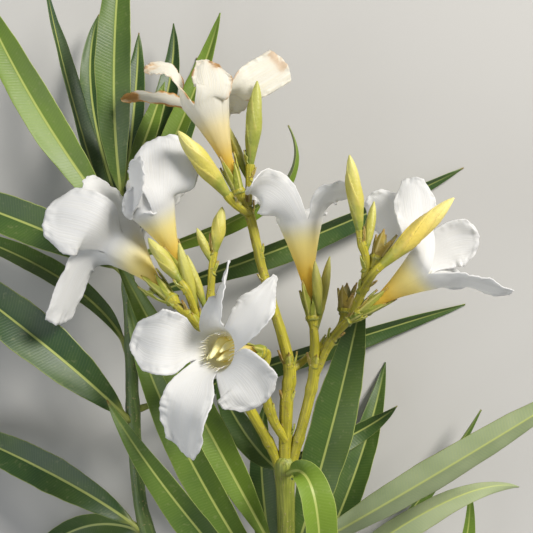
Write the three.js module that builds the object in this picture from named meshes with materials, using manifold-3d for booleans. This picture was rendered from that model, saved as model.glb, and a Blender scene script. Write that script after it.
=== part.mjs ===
// A flowering branch of white oleander, cut from its shrub and lying on a table. Millimetres.
// +Y runs from the cut to the flowers, +X is to their right, and +Z points up from the table at z = 0.
// A straight stem ends in a head of flowers and buds; a leafy shoot leaves it low on the left.

import * as THREE from "three";
import { mergeVertices } from "three/addons/utils/BufferGeometryUtils.js";
import Module from "manifold-3d";

const wasm = await Module();
wasm.setup();

// Driving dimensions
const BOX_CENTRE = [-7.5, -27.2]; // middle of the whole branch, in the frame that the rows below use
const SEAT_GAP = 0.3; // between a leaf, bud or flower and the stalk that carries it
const LEAF_THICKNESS = 1.2; // across the midrib
const LEAF_EDGE = 0.5; // at the margin
const PETIOLE_RADIUS = 0.9;
const PETAL_THICKNESS = 0.5;
const PETALS = 5;
const PETAL_DOME = 0.14; // fall of a petal's margins below its midline, as a share of its half width
const PETAL_ROUNDING = 0.3; // how far the margins of its end stand back
const SEPAL_LENGTH = 8; // beyond its cup
const SEPAL_HALF_WIDTH = 1.1;
const SEPAL_RIB = 0.28; // half its thickness down the middle
const SEPAL_FLARE = 1.6; // a sepal's tip outside its foot
const CUP_RADIUS = 2.2; // the receptacle under a flower
const CUP_FOOT = 1.2; // its radius where it joins the stalk
const CUP_HEIGHT = 2.6;

const COLOURS = {
  stem: [0.36, 0.42, 0.1, 0.55],
  stalk: [0.5, 0.52, 0.1, 0.5],
  leaf: [0.09, 0.2, 0.06, 0.42],
  petal: [0.93, 0.92, 0.88, 0.6],
  faded: [0.92, 0.86, 0.72, 0.65],
  bud: [0.66, 0.64, 0.2, 0.5],
};

// Vectors and curves
const LENS_HEIGHT = 345; // the camera of the photograph over the table
const STALK_HEIGHT = 45; // the level at which the photograph's scale was taken
const UP = new THREE.Vector3(0, 0, 1);
const vec = (p) => new THREE.Vector3(p[0], p[1], p[2]);

// A point of the flower head from where the photograph shows it: millimetres across and up at the
// level of the stalk, and its height. What stands nearer the lens looks larger, so it's drawn in.
function seen([across, up, height]) {
  const share = (LENS_HEIGHT - height) / (LENS_HEIGHT - STALK_HEIGHT);
  return new THREE.Vector3(across * share, up * share, height);
}

const mix = THREE.MathUtils.lerp;
const smooth = THREE.MathUtils.smoothstep;
const turned = (v, axis, degrees) => v.clone().applyAxisAngle(axis, THREE.MathUtils.degToRad(degrees));

function square(v, axis) {
  return v.clone().addScaledVector(axis, -v.dot(axis)).normalize();
}

// A closed surface from rings of equal length, each joined to the next, with a fan over both ends.
function skin(rings) {
  const count = rings[0].length;
  const points = rings.flat();
  const index = [];
  for (let r = 0; r < rings.length - 1; r += 1) {
    for (let k = 0; k < count; k += 1) {
      const a = r * count + k;
      const b = r * count + ((k + 1) % count);
      index.push(a, b, b + count, a, b + count, a + count);
    }
  }
  const last = points.length - count;
  for (let k = 1; k < count - 1; k += 1) {
    index.push(0, k + 1, k);
    index.push(last, last + k, last + k + 1);
  }
  return shape(points, index);
}

function shape(points, index) {
  const geometry = new THREE.BufferGeometry().setFromPoints(points);
  geometry.setIndex(index);
  return geometry;
}

// A thin sheet of triangles made solid: both faces half a thickness out, and a wall along its edge.
function thickened(points, index, thickness) {
  const sheet = shape(points, index);
  sheet.computeVertexNormals();
  const normals = sheet.getAttribute("normal");
  const offset = (side) =>
    points.map((p, i) => {
      const n = new THREE.Vector3().fromBufferAttribute(normals, i);
      return p.clone().addScaledVector(n, (side * thickness) / 2);
    });
  const count = points.length;
  const faces = [...index];
  const edges = new Map();
  for (let i = 0; i < index.length; i += 3) {
    const [a, b, c] = index.slice(i, i + 3);
    faces.push(a + count, c + count, b + count);
    for (const [from, to] of [[a, b], [b, c], [c, a]]) {
      if (!edges.delete(`${to} ${from}`)) {
        edges.set(`${from} ${to}`, [from, to]);
      }
    }
  }
  for (const [from, to] of edges.values()) {
    faces.push(to, from, from + count, to, from + count, to + count);
  }
  return shape([...offset(1), ...offset(-1)], faces);
}

// Solids that are fused
function solid(geometry) {
  const bare = new THREE.BufferGeometry().setAttribute("position", geometry.getAttribute("position"));
  bare.setIndex(geometry.index);
  const merged = mergeVertices(bare, 1e-4);
  const mesh = new wasm.Mesh({
    numProp: 3,
    vertProperties: merged.getAttribute("position").array,
    triVerts: new Uint32Array(merged.index.array),
  });
  return new wasm.Manifold(mesh);
}

function fused(geometries) {
  const whole = wasm.Manifold.union(geometries.map(solid)).getMesh();
  const geometry = new THREE.BufferGeometry();
  geometry.setAttribute("position", new THREE.BufferAttribute(whole.vertProperties, 3));
  geometry.setIndex(new THREE.BufferAttribute(whole.triVerts, 1));
  return geometry;
}

// Stems and stalks: a round rod along a stretch of a smooth path, its radius changing on the way
function curveOf(path) {
  return new THREE.CatmullRomCurve3(path.map(vec), false, "centripetal");
}

function radiusAt(radii, u) {
  const place = u * (radii.length - 1);
  const before = Math.min(Math.floor(place), radii.length - 2);
  return mix(radii[before], radii[before + 1], place - before);
}

function rod({ curve, radii, sides = 10, steps, from = 0, to = 1 }) {
  const rings = [];
  let across = square(UP, curve.getTangent(from));
  for (let i = 0; i <= steps; i += 1) {
    const u = mix(from, to, i / steps);
    const along = curve.getTangent(u);
    across = square(across, along);
    rings.push(circle(curve.getPoint(u), along, across, radiusAt(radii, u), sides));
  }
  return skin(rings);
}

function circle(centre, along, across, radius, sides) {
  const points = [];
  for (let k = 0; k < sides; k += 1) {
    points.push(centre.clone().addScaledVector(turned(across, along, (k * 360) / sides), radius));
  }
  return points;
}

const STEMS = {
  main: {
    path: [
      [4.5, -157.5, 3.29], [5.1, -130, 11], [5.9, -104, 19], [6.3, -84, 26], [5.8, -65, 31.4],
      [5.6, -58.5, 33],
    ],
    radii: [3.4, 3.2, 2.9, 2.8, 3, 3.4],
  },
  left: {
    path: [
      [1.1, -125.6, 15], [-10, -118, 17.5], [-23, -108.5, 19.2], [-33.5, -96, 21], [-39.6, -81, 23],
      [-42.5, -48, 26], [-43, -23.5, 28], [-44, 0.5, 29], [-45, 22, 30], [-45.5, 31, 30.5],
    ],
    radii: [2.6, 2.5, 2.4, 2.3, 2.2, 2.1, 2, 1.9, 1.6, 0.7],
  },
};
const LEFT_BEND = 0.45; // where the left shoot has turned up beside the stem, and its upper piece begins

for (const stem of Object.values(STEMS)) {
  stem.curve = curveOf(stem.path);
  stem.length = stem.curve.getLength();
}

// The control point of a curve that passes mid on its way from root to tip.
function bendOf(root, row) {
  return vec(row.mid).multiplyScalar(2).sub(root.clone().add(vec(row.tip)).multiplyScalar(0.5));
}

// Where a leaf's stalk sets out, a seat's gap clear of the stem's skin. A stalk that leaves at a slant
// stands further off, by as much of its own radius as faces the stem.
function leafRoot(stem, row) {
  const u = stem.curve.getUtoTmapping(row.at / stem.length);
  const centre = stem.curve.getPoint(u);
  const heading = bendOf(centre, row).sub(centre).normalize();
  const outward = square(heading, stem.curve.getTangent(u));
  const slant = Math.sqrt(1 - Math.min(1, heading.dot(outward)) ** 2);
  return centre.addScaledVector(outward, radiusAt(stem.radii, u) + SEAT_GAP + PETIOLE_RADIUS * slant);
}

// Leaves: narrow, pointed at both ends, folded a little along the midrib, on a short thick stalk.
// at: distance up the stem. mid and tip: points that the midrib passes. roll: degrees by which the upper
// side turns from facing straight up, about the midrib, and twist: how much more it turns by the tip.
// A leaf that rests bends down until it touches the table, and carries the branch.
const LEAVES = {
  main: {
    leaf_right_long: { at: 68, mid: [47, -63, 50], tip: [97, -30, 58], wide: 9.5, roll: 172, twist: 10 },
    leaf_right_upright: { at: 64, mid: [20.6, -51, 29], tip: [30.3, -8, 31], wide: 14, roll: -8, twist: 6 },
    leaf_left_inner: { at: 66, mid: [-20.5, -47, 32], tip: [-47, 3, 35], wide: 11, roll: 8 },
    leaf_left_outer: { at: 50, mid: [-26.5, -52, 42], tip: [-42, -10, 42], wide: 10.5, roll: 6, twist: -10 },
    leaf_left_front: { at: 44, mid: [-26.5, -69, 52], tip: [-45.5, -38, 60], wide: 10, roll: -14, twist: 20 },
    leaf_right_narrow: { at: 47, mid: [50, -76, 35], tip: [79.5, -69.5, 30], wide: 9, roll: 140, twist: 10 },
    leaf_arched: { at: 98, mid: [14, -68, 50], tip: [16, -104, 42], wide: 11, roll: -20, twist: -10 },
    leaf_behind_fork: { at: 101, mid: [27, -57, 11], tip: [43, -46, 16], wide: 8, roll: 15 },
    leaf_left_short: { at: 97, mid: [-6, -55, 22], tip: [-16, -36.5, 24], wide: 9, roll: -15 },
    leaf_behind_stem: { at: 48, mid: [-1.5, -69, 16], tip: [0, -44, 18], wide: 9 },
    leaf_right_back: {
      at: 43, mid: [28, -74, 10], tip: [41, -33, 2], wide: 10, roll: -10, rests: true,
    },
    leaf_right_low: { at: 30, mid: [44, -88, 8], tip: [72, -48, 10], wide: 8, roll: 40 },
    leaf_right_hooked: { at: 26, mid: [53, -115, 14], tip: [66, -72, 20], wide: 9, roll: 20 },
    leaf_foot_left: { at: 22, mid: [-28, -141, 7], tip: [-62, -126, 2], wide: 10, rests: true },
    leaf_foot_back: { at: 14, mid: [26, -134, 4], tip: [50, -146, 2], wide: 9, rests: true },
  },
  left: {
    leaf_shoot_lowest: {
      at: 62, mid: [-69, -68, 20], tip: [-112, -54, 2], wide: 12, roll: 12, rests: true,
    },
    leaf_shoot_low_back: {
      at: 60, mid: [-62, -88, 8], tip: [-84, -104, 2], wide: 9, rests: true,
    },
    leaf_shoot_broad: { at: 98, mid: [-69, -24, 36], tip: [-112, 7, 30], wide: 15, roll: 14 },
    leaf_shoot_across: {
      at: 101, mid: [11, -30, 10], tip: [68.5, -13, 3], wide: 9, roll: 38, twist: -8, rests: true,
    },
    leaf_shoot_thin: {
      at: 120, mid: [-66, -5, 18], tip: [-112, 14, 3], wide: 8.5, roll: 30, rests: true,
    },
    leaf_shoot_long: {
      at: 137, mid: [11, 8.5, 15], tip: [68, 34, 3], wide: 10, roll: 42, twist: -6, rests: true,
    },
    leaf_shoot_upper: { at: 145, mid: [-67, 10, 31], tip: [-111, 26, 22], wide: 13, roll: 10 },
    leaf_shoot_curled: { at: 150, mid: [1, 22, 26], tip: [6.9, 44.5, 30], wide: 8, roll: 40, twist: 40 },
    leaf_top_slanting: { at: 159, mid: [-71, 49.6, 37], tip: [-92, 90, 32], wide: 11.5, roll: 5 },
    leaf_top_edge: { at: 150, mid: [-60.5, 48, 27], tip: [-71, 90, 24], wide: 9, roll: 62 },
    leaf_top_tall: { at: 167, mid: [-46.7, 58, 39], tip: [-44, 104, 37], wide: 11 },
    leaf_top_back: { at: 163, mid: [-58, 56, 13], tip: [-56.5, 85, 8], wide: 8 },
    leaf_top_dark: { at: 171, mid: [-42.5, 54, 22], tip: [-41.5, 76, 20], wide: 7 },
    leaf_top_mid: { at: 165, mid: [-33.5, 54, 15], tip: [-31, 81, 12], wide: 8 },
    leaf_top_right: { at: 157, mid: [-24.5, 54, 21], tip: [-15, 82, 22], wide: 8, roll: -20 },
    leaf_top_low: { at: 155, mid: [-28, 46, 9], tip: [-24, 72, 2], wide: 8, rests: true },
    leaf_top_young: { at: 172, mid: [-37, 43, 31], tip: [-32, 58, 31], wide: 6 },
  },
};

const LEAF_STATIONS = [0, 0.06, 0.13, 0.22, 0.34, 0.47, 0.6, 0.73, 0.85, 0.94, 1];
const LEAF_FOLD = 0.22; // rise of each half over its width

function leafHalfWidth(u, wide) {
  const along = Math.min(1, Math.max(0, (u - 0.03) / 0.97));
  const blade = (wide / 2) * Math.sin(Math.PI * along ** 0.92) ** 0.78;
  const stalk = PETIOLE_RADIUS * (1 - smooth(u, 0, 0.3));
  return Math.max(blade, stalk, 0.25);
}

function leaf(stem, row, dip = 0) {
  const root = leafRoot(stem, row);
  const midrib = new THREE.QuadraticBezierCurve3(root, bendOf(root, row), vec(row.tip));
  const rings = LEAF_STATIONS.map((u) => {
    const centre = midrib.getPointAt(u);
    centre.z -= dip * u * u;
    const along = midrib.getTangentAt(u);
    const up = turned(square(UP, along), along, (row.roll ?? 0) + (row.twist ?? 0) * u);
    const side = up.clone().cross(along);
    const half = leafHalfWidth(u, row.wide);
    const stalk = 1 - smooth(u, 0.02, 0.16);
    const rib = (mix(LEAF_THICKNESS, 2 * PETIOLE_RADIUS, stalk) / 2) * mix(1, 0.45, smooth(u, 0.5, 1));
    const edge = (mix(LEAF_EDGE, PETIOLE_RADIUS, stalk) / 2) * mix(1, 0.6, smooth(u, 0.5, 1));
    const lift = half * LEAF_FOLD * (1 - stalk);
    const at = (x, z) => centre.clone().addScaledVector(side, x).addScaledVector(up, z);
    return [
      at(half, lift + edge), at(0, rib), at(-half, lift + edge),
      at(-half, lift - edge), at(0, -rib), at(half, lift - edge),
    ];
  });
  const lowest = Math.min(...rings.flat().map((p) => p.z));
  return row.rests && Math.abs(lowest) > 0.001 ? leaf(stem, row, dip + lowest) : skin(rings);
}

// Flowers: a narrow tube that opens into a funnel, and five broad petals on its rim, one sheet throughout.
// Rows are as the photograph shows them. base: where the tube starts. mouth: the middle of the rim.
// start: degrees round the axis of the first petal, from the side nearest the lens (or nearest +Y where
// the axis itself points at the lens). Each petal passes mid and ends at tip; it is wide across, turned
// by roll degrees about its own length towards its end, and skew sets how much longer one side is.
const TUBE_PROFILE = [[0, 0.9], [0.08, 1.3], [0.35, 1.7], [0.55, 2.9], [0.78, 4.7], [1, 6.7]];
const FUNNEL_LEAN = 32; // degrees from the axis at the rim
const PETAL_STATIONS = [0.17, 0.36, 0.56, 0.75, 0.9, 1];

const FLOWERS = {
  flower_front: {
    base: [-2.6, -25.7, 50], mouth: [-15.6, -25, 70], start: 82, colour: "petal",
    petals: [
      { mid: [-30.5, -23.5, 75], tip: [-40.5, -21, 71], wide: 17, skew: 0.2 },
      { mid: [-23, -40, 76], tip: [-27.5, -55, 71], wide: 17, skew: 0.2 },
      { mid: [-7, -33.5, 76], tip: [-2.6, -42, 74], wide: 17, skew: -0.1 },
      { mid: [-4.5, -12, 76], tip: [3.5, -2, 72], wide: 13, roll: -35 },
      { mid: [-16, -11.5, 76], tip: [-10.5, 1.8, 75], wide: 9, roll: 85 },
    ],
  },
  flower_left: {
    base: [-28.3, -8.2, 55], mouth: [-41.3, 6.8, 44], start: -30, colour: "petal",
    petals: [
      { mid: [-53.6, 12.6, 58], tip: [-66.4, 16, 55], wide: 20, skew: 0.2 },
      { mid: [-46.3, 19, 44], tip: [-52.3, 27.6, 42], wide: 16 },
      { mid: [-36.5, 10, 37], tip: [-36.5, 14, 34], wide: 13 },
      { mid: [-49, 9, 37], tip: [-57, 12, 35], wide: 14 },
      { mid: [-54.4, 0.5, 46], tip: [-64, -17, 44], wide: 12, roll: -18 },
    ],
  },
  flower_left_upper: {
    base: [-24.7, -2.5, 49], mouth: [-34, 17.5, 53], start: -38, colour: "petal",
    petals: [
      { mid: [-37.8, 18, 61], tip: [-42, 18, 65], wide: 12 },
      { mid: [-28.5, 25, 53], tip: [-22.5, 31, 50], wide: 13 },
      { mid: [-30.8, 28, 49], tip: [-31.5, 39.5, 45], wide: 20, roll: -75 },
      { mid: [-35, 24, 42], tip: [-36, 30, 37], wide: 14 },
      { mid: [-40, 24.5, 52], tip: [-37.2, 32.6, 52], wide: 11, roll: 30 },
    ],
  },
  flower_top: {
    base: [-8.8, 23.5, 50], mouth: [-17.8, 48.7, 51], start: 5, colour: "faded",
    petals: [
      { mid: [-15.7, 54, 57], tip: [-17, 61, 56], wide: 12, skew: -0.5 },
      { mid: [-5, 56, 51], tip: [6.2, 62, 48], wide: 13, roll: -80, skew: 0.3 },
      { mid: [-9.2, 49.5, 44], tip: [-7.5, 47.5, 40], wide: 12, roll: -40 },
      { mid: [-30.4, 50, 44], tip: [-43.6, 50.5, 42], wide: 7 },
      { mid: [-28, 57.4, 54], tip: [-36.5, 59, 52], wide: 10 },
    ],
  },
  flower_centre: {
    base: [13.6, -14.2, 46], mouth: [10, 12.7, 47], start: -40, colour: "petal",
    petals: [
      { mid: [1.5, 18.5, 54], tip: [-7.2, 22.5, 55], wide: 14 },
      { mid: [17.9, 19.5, 52], tip: [27, 22.4, 51], wide: 13, roll: 10 },
      { mid: [15.8, 18.5, 38], tip: [21.5, 21, 31], wide: 13 },
      { mid: [10.5, 19, 38], tip: [11, 22, 31], wide: 16 },
      { mid: [3, 24, 43], tip: [-3.5, 28, 41], wide: 17, roll: 30 },
    ],
  },
  flower_right: {
    base: [28.6, -13.6, 53], mouth: [47.8, -0.5, 57], start: 45, colour: "petal",
    petals: [
      { mid: [59.8, -5, 62], tip: [73.4, -8.3, 60], wide: 9, roll: 55 },
      { mid: [55, 5, 54], tip: [63.8, 5.8, 54], wide: 13 },
      { mid: [52, 8, 46], tip: [59.8, 10.4, 42], wide: 14 },
      { mid: [43.6, 15.4, 53], tip: [42.7, 27, 52], wide: 13, roll: 75 },
      { mid: [36.8, 12.4, 54], tip: [31, 21, 52], wide: 13, roll: 60 },
    ],
  },
};

function corolla(row, across = 3) {
  const origin = seen(row.base);
  const mouth = seen(row.mouth);
  const axis = mouth.clone().sub(origin);
  const length = axis.length();
  axis.normalize();
  const facing = axis.z > 0.8 ? new THREE.Vector3(0, 1, 0) : UP;
  const first = square(facing, axis);
  const around = PETALS * across;
  const spoke = (degrees) => turned(first, axis, degrees);
  const points = [origin.clone()];
  const index = [];
  const begin = row.start - 180 / PETALS;
  TUBE_PROFILE.forEach(([share, radius], ring) => {
    const centre = origin.clone().addScaledVector(axis, share * length);
    for (let k = 0; k < around; k += 1) {
      points.push(centre.clone().addScaledVector(spoke(begin + (k * 360) / around), radius));
      const a = 1 + ring * around + k;
      const b = 1 + ring * around + ((k + 1) % around);
      if (ring === 0) {
        index.push(0, b, a);
      } else {
        index.push(a - around, b - around, b, a - around, b, a);
      }
    }
  });
  const rim = 1 + (TUBE_PROFILE.length - 1) * around;
  row.petals.forEach((petal, number) => {
    const middle = row.start + (number * 360) / PETALS;
    let before = [];
    for (let k = 0; k <= across; k += 1) {
      before.push(rim + ((number * across + k) % around));
    }
    for (const u of PETAL_STATIONS) {
      const next = [];
      for (let k = 0; k <= across; k += 1) {
        next.push(points.length);
        points.push(petalPoint(petal, mouth, axis, spoke, middle, u, (2 * k) / across - 1));
      }
      for (let k = 0; k < across; k += 1) {
        index.push(before[k], before[k + 1], next[k + 1], before[k], next[k + 1], next[k]);
      }
      before = next;
    }
  });
  return thickened(points, index, PETAL_THICKNESS);
}

// Half widths along a petal, as shares of its full half width, from the rim to the rounded end.
function petalSpread(u) {
  return mix(0.55, 1, smooth(u, 0, 0.66)) * (1 - 0.5 * smooth(u, 0.74, 1.04));
}

// A point and heading on a petal's midline, which leaves the rim in the funnel's own direction.
function midline(root, leave, mid, tip, u) {
  const through = tip.clone().sub(root).multiplyScalar(0.5);
  const set = leave.clone().multiplyScalar(mid.distanceTo(root) * 0.9);
  const end = tip.clone().sub(mid).multiplyScalar(1.5).addScaledVector(through, -0.5);
  const early = u < 0.5;
  const from = early ? root : mid;
  const to = early ? mid : tip;
  const m0 = early ? set : through;
  const m1 = early ? through : end;
  const s = early ? 2 * u : 2 * u - 1;
  const point = from.clone().multiplyScalar(2 * s ** 3 - 3 * s ** 2 + 1)
    .addScaledVector(m0, s ** 3 - 2 * s ** 2 + s)
    .addScaledVector(to, 3 * s ** 2 - 2 * s ** 3)
    .addScaledVector(m1, s ** 3 - s ** 2);
  const heading = from.clone().multiplyScalar(6 * s ** 2 - 6 * s)
    .addScaledVector(m0, 3 * s ** 2 - 4 * s + 1)
    .addScaledVector(to, 6 * s - 6 * s ** 2)
    .addScaledVector(m1, 3 * s ** 2 - 2 * s)
    .normalize();
  return [point, heading];
}

function petalPoint(petal, mouth, axis, spoke, middle, u, v) {
  const rim = TUBE_PROFILE[TUBE_PROFILE.length - 1][1];
  const out = spoke(middle);
  const root = mouth.clone().addScaledVector(out, rim);
  const leave = turned(axis, axis.clone().cross(out), FUNNEL_LEAN);
  const [point, heading] = midline(root, leave, seen(petal.mid), seen(petal.tip), u);
  const flat = square(axis.clone().cross(out), heading);
  const side = turned(flat, heading, (petal.roll ?? 0) * smooth(u, 0.05, 0.8));
  const face = side.clone().cross(heading);
  const half = (petal.wide / 2) * petalSpread(u);
  const own = point.clone().addScaledVector(side, half * v);
  own.addScaledVector(face, -PETAL_DOME * half * v * v);
  const end = smooth(u, 0.45, 1);
  own.addScaledVector(heading, half * ((petal.skew ?? 0) * v - PETAL_ROUNDING * v * v) * end);
  const arc = mouth.clone().addScaledVector(spoke(middle + (v * 180) / PETALS), rim);
  return arc.add(point).sub(root).lerp(own, smooth(u, 0, 0.4));
}

// Buds: a furled spindle, widest below its middle. tip and base are the ends of its axis.
function spindle(from, to, radius, sides = 8) {
  const along = to.clone().sub(from).normalize();
  const across = square(UP, along);
  const stations = [0, 0.1, 0.26, 0.45, 0.65, 0.84, 1];
  const rings = stations.map((u) => {
    const swell = Math.sin(Math.PI * Math.min(1, 0.1 + 0.9 * u ** 0.85)) ** 0.8;
    const own = Math.max(radius * swell, 0.3);
    return circle(from.clone().lerp(to, u), along, across, own, sides);
  });
  return skin(rings);
}

const BUDS = {
  bud_top_tall: { base: [-4.9, 30.2, 50], tip: [-2.8, 55.7, 53], radius: 2.5 },
  bud_top_left: { base: [-11.5, 21.2, 54.5], tip: [-26.6, 40.7, 60], radius: 2.9 },
  bud_right_long: { base: [34.4, 0.2, 65], tip: [56.3, 20.6, 72], radius: 2.8 },
  bud_right_upright: { base: [28, 10.4, 62], tip: [24.9, 33.5, 64], radius: 2.4 },
  bud_left_small: { base: [-15.7, 4, 53], tip: [-13.3, 17.9, 54], radius: 2.2 },
  bud_left_withered: { base: [-25.6, -5, 56.5], tip: [-35.5, 8.5, 57], radius: 2.2 },
};

// Flower stalks: rods fused with the cups and sepals of the flowers that they carry, and with small buds
function cup({ base, mouth }) {
  const from = seen(base);
  const along = seen(mouth).sub(from).normalize();
  const across = square(UP, along);
  const parts = [];
  const seat = from.clone().addScaledVector(along, -SEAT_GAP);
  const under = seat.clone().addScaledVector(along, -CUP_HEIGHT);
  parts.push(skin([
    circle(under, along, across, CUP_FOOT, 8),
    circle(under.clone().addScaledVector(along, CUP_HEIGHT * 0.6), along, across, CUP_RADIUS, 8),
    circle(seat, along, across, CUP_RADIUS, 8),
  ]));
  for (let k = 0; k < PETALS; k += 1) {
    const out = turned(across, along, (k * 360) / PETALS);
    const foot = under.clone().lerp(seat, 0.5).addScaledVector(out, CUP_RADIUS - 0.15);
    const rise = along.clone().multiplyScalar(CUP_HEIGHT / 2 + SEPAL_LENGTH);
    const tip = foot.clone().add(rise).addScaledVector(out, SEPAL_FLARE);
    parts.push(sepal(foot, tip, out));
  }
  return parts;
}

function sepal(foot, tip, out) {
  const along = tip.clone().sub(foot).normalize();
  const face = square(out, along);
  const side = face.clone().cross(along);
  const rings = [[0, 0.9], [0.45, 1], [1, 0.12]].map(([u, share]) => {
    const centre = foot.clone().lerp(tip, u);
    const at = (x, z) => centre.clone().addScaledVector(side, x).addScaledVector(face, z);
    const half = SEPAL_HALF_WIDTH * share;
    return [at(-half, 0), at(0, -SEPAL_RIB), at(half, 0), at(0, SEPAL_RIB)];
  });
  return skin(rings);
}

// The last two points of a stalk. Under a flower the tip lies inside its cup; under a bud it ends a
// seat's gap short. Both run in along the axis of what they carry.
function endOf(name) {
  const bud = BUDS[name];
  const from = seen(bud ? bud.base : FLOWERS[name].base);
  const along = seen(bud ? bud.tip : FLOWERS[name].mouth).sub(from).normalize();
  const short = bud ? SEAT_GAP : SEAT_GAP + CUP_HEIGHT * 0.8;
  return [short + 2.5, short].map((back) => from.clone().addScaledVector(along, -back));
}

function stalk(points, radii, sides = 6) {
  const path = points.map((p) => (Array.isArray(p) ? seen(p) : p).toArray());
  return rod({ curve: curveOf(path), radii, sides, steps: 2 * (path.length - 1) });
}

const smallBud = (base, tip, radius) => spindle(seen(base), seen(tip), radius, 6);

// Where the stalks that part at the fork set out: side by side on the end of the main stem.
function forkSeat(sideways, forward) {
  const along = STEMS.main.curve.getTangent(1);
  const right = along.clone().cross(UP).normalize();
  return STEMS.main.curve.getPoint(1).addScaledVector(along, forward).addScaledVector(right, sideways);
}

function centreStalk() {
  return [
    stalk([forkSeat(0, SEAT_GAP), [5.9, -41.5, 37], [6.8, -30.5, 40], [2, -11.7, 43], [-1.3, -0.4, 45],
      [-4.8, 14.8, 47], [-6.2, 19.5, 48]], [2, 2.1, 2, 1.7, 1.7, 1.7, 1.3], 8),
    stalk([[5.6, -52, 35.5], [2, -46, 39.5], [-0.8, -35, 44.5], ...endOf("flower_front")],
      [1.3, 1.5, 1.4, 1.2, 1.2]),
    stalk([[-5.2, 16, 47.2], ...endOf("flower_top")], [1.3, 1.1, 1.2]),
    stalk([[-5.5, 17, 47.6], [-5.3, 23, 48.5], ...endOf("bud_top_tall")], [1.1, 1.1, 1.1]),
    stalk([[-5, 15.5, 47], ...endOf("bud_top_left")], [1.2, 1.1, 1.1]),
    smallBud([-5.5, 26, 48.5], [-12.4, 43.5, 46], 1.4),
    stalk([[7, -31.5, 39.5], [14.5, -25.5, 37.5], [22, -18, 41], [23.5, -13, 43]], [1.2, 1.1, 1, 1.2]),
    ...cup({ base: [23.7, -11.5, 43.5], mouth: [25, 0, 48] }),
    ...cup(FLOWERS.flower_front),
    ...cup(FLOWERS.flower_top),
  ];
}

function leftStalk() {
  return [
    stalk([forkSeat(-3.8, 1.5), [-5.2, -42.5, 42], [-12.2, -30.3, 47], [-17.8, -21.9, 50],
      [-20.9, -16.6, 52]], [1.4, 1.6, 1.6, 1.5, 1.6]),
    stalk([[-20.4, -17.4, 51.7], ...endOf("flower_left")], [1.4, 1.2, 1.2]),
    stalk([[-20.4, -17.4, 51.7], ...endOf("flower_left_upper")], [1.4, 1.2, 1.2]),
    stalk([[-17.5, -22, 50], ...endOf("bud_left_small")], [1.2, 1.1, 1]),
    stalk([[-20.4, -17.4, 51.7], ...endOf("bud_left_withered")], [1.2, 1.1, 1]),
    ...cup(FLOWERS.flower_left),
    ...cup(FLOWERS.flower_left_upper),
  ];
}

function rightStalk() {
  return [
    stalk([forkSeat(3.8, 1.2), [14.2, -32, 41], ...endOf("flower_centre")], [1.5, 1.6, 1.2, 1.2]),
    stalk([[14.2, -33, 40.5], [19.5, -22, 46], ...endOf("flower_right")], [1.4, 1.3, 1.3, 1.3]),
    stalk([[25.4, -16, 51.4], [28.5, -8, 57], ...endOf("bud_right_long")], [1.3, 1.3, 1.2, 1.1]),
    stalk([[29.3, -6.5, 58.4], [29.9, 2, 60.5], ...endOf("bud_right_upright")], [1.2, 1.1, 1.1]),
    smallBud([29.5, 1.5, 60], [32.3, 19.5, 58], 1.3),
    smallBud([29.6, -5.5, 59], [37.3, 12.7, 60], 1.3),
    smallBud([14.6, -24, 42.5], [19, 3, 45], 1.5),
    ...cup(FLOWERS.flower_centre),
    ...cup(FLOWERS.flower_right),
  ];
}

// The branch
function material(kind) {
  const [red, green, blue, roughness] = COLOURS[kind];
  const color = new THREE.Color(red, green, blue);
  return new THREE.MeshStandardMaterial({ color, roughness, metalness: 0 });
}

function add(group, name, geometry, kind) {
  const mesh = new THREE.Mesh(geometry, material(kind));
  mesh.name = name;
  group.add(mesh);
}

const branch = new THREE.Group();
branch.position.set(-BOX_CENTRE[0], -BOX_CENTRE[1], 0);
add(branch, "main_stem", rod({ ...STEMS.main, sides: 12, steps: 16 }), "stem");
add(branch, "left_shoot_foot", rod({ ...STEMS.left, steps: 10, to: LEFT_BEND }), "stem");
const afterBend = LEFT_BEND + SEAT_GAP / STEMS.left.length;
add(branch, "left_shoot_stem", rod({ ...STEMS.left, steps: 12, from: afterBend }), "stem");
for (const [stem, rows] of Object.entries(LEAVES)) {
  for (const [name, row] of Object.entries(rows)) {
    add(branch, name, leaf(STEMS[stem], row), "leaf");
  }
}
for (const [name, row] of Object.entries(FLOWERS)) {
  add(branch, name, corolla(row), row.colour);
}
for (const [name, row] of Object.entries(BUDS)) {
  add(branch, name, spindle(seen(row.base), seen(row.tip), row.radius), "bud");
}
add(branch, "flower_stalk_centre", fused(centreStalk()), "stalk");
add(branch, "flower_stalk_left", fused(leftStalk()), "stalk");
add(branch, "flower_stalk_right", fused(rightStalk()), "stalk");

export default branch;
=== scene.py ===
# A flowering branch of white oleander, cut from its shrub and lying on a table. Metres, apart from rows
# and from values that MM scales, which are in millimetres. +Y runs from the cut to the flowers, +Z is up.

import math

import bpy
from mathutils import Matrix, Vector, noise


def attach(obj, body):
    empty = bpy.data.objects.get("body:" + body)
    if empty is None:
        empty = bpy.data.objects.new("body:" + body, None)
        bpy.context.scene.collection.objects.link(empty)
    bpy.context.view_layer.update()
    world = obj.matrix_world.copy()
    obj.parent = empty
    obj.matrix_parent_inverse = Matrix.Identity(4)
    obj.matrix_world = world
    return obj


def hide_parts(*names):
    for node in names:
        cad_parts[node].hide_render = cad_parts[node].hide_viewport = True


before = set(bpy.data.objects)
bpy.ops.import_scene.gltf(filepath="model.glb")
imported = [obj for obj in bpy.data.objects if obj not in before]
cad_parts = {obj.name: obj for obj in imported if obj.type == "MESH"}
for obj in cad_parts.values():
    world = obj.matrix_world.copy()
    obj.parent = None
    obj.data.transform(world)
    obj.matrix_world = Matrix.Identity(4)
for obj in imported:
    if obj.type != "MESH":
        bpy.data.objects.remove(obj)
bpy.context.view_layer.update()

# Main stem
# A straight green shoot as thick as a pencil, cut square at its foot and swollen where leaves leave it.
# Its skin is smooth and yellow-green, with pale corky dots and fine streaks along it.

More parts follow.
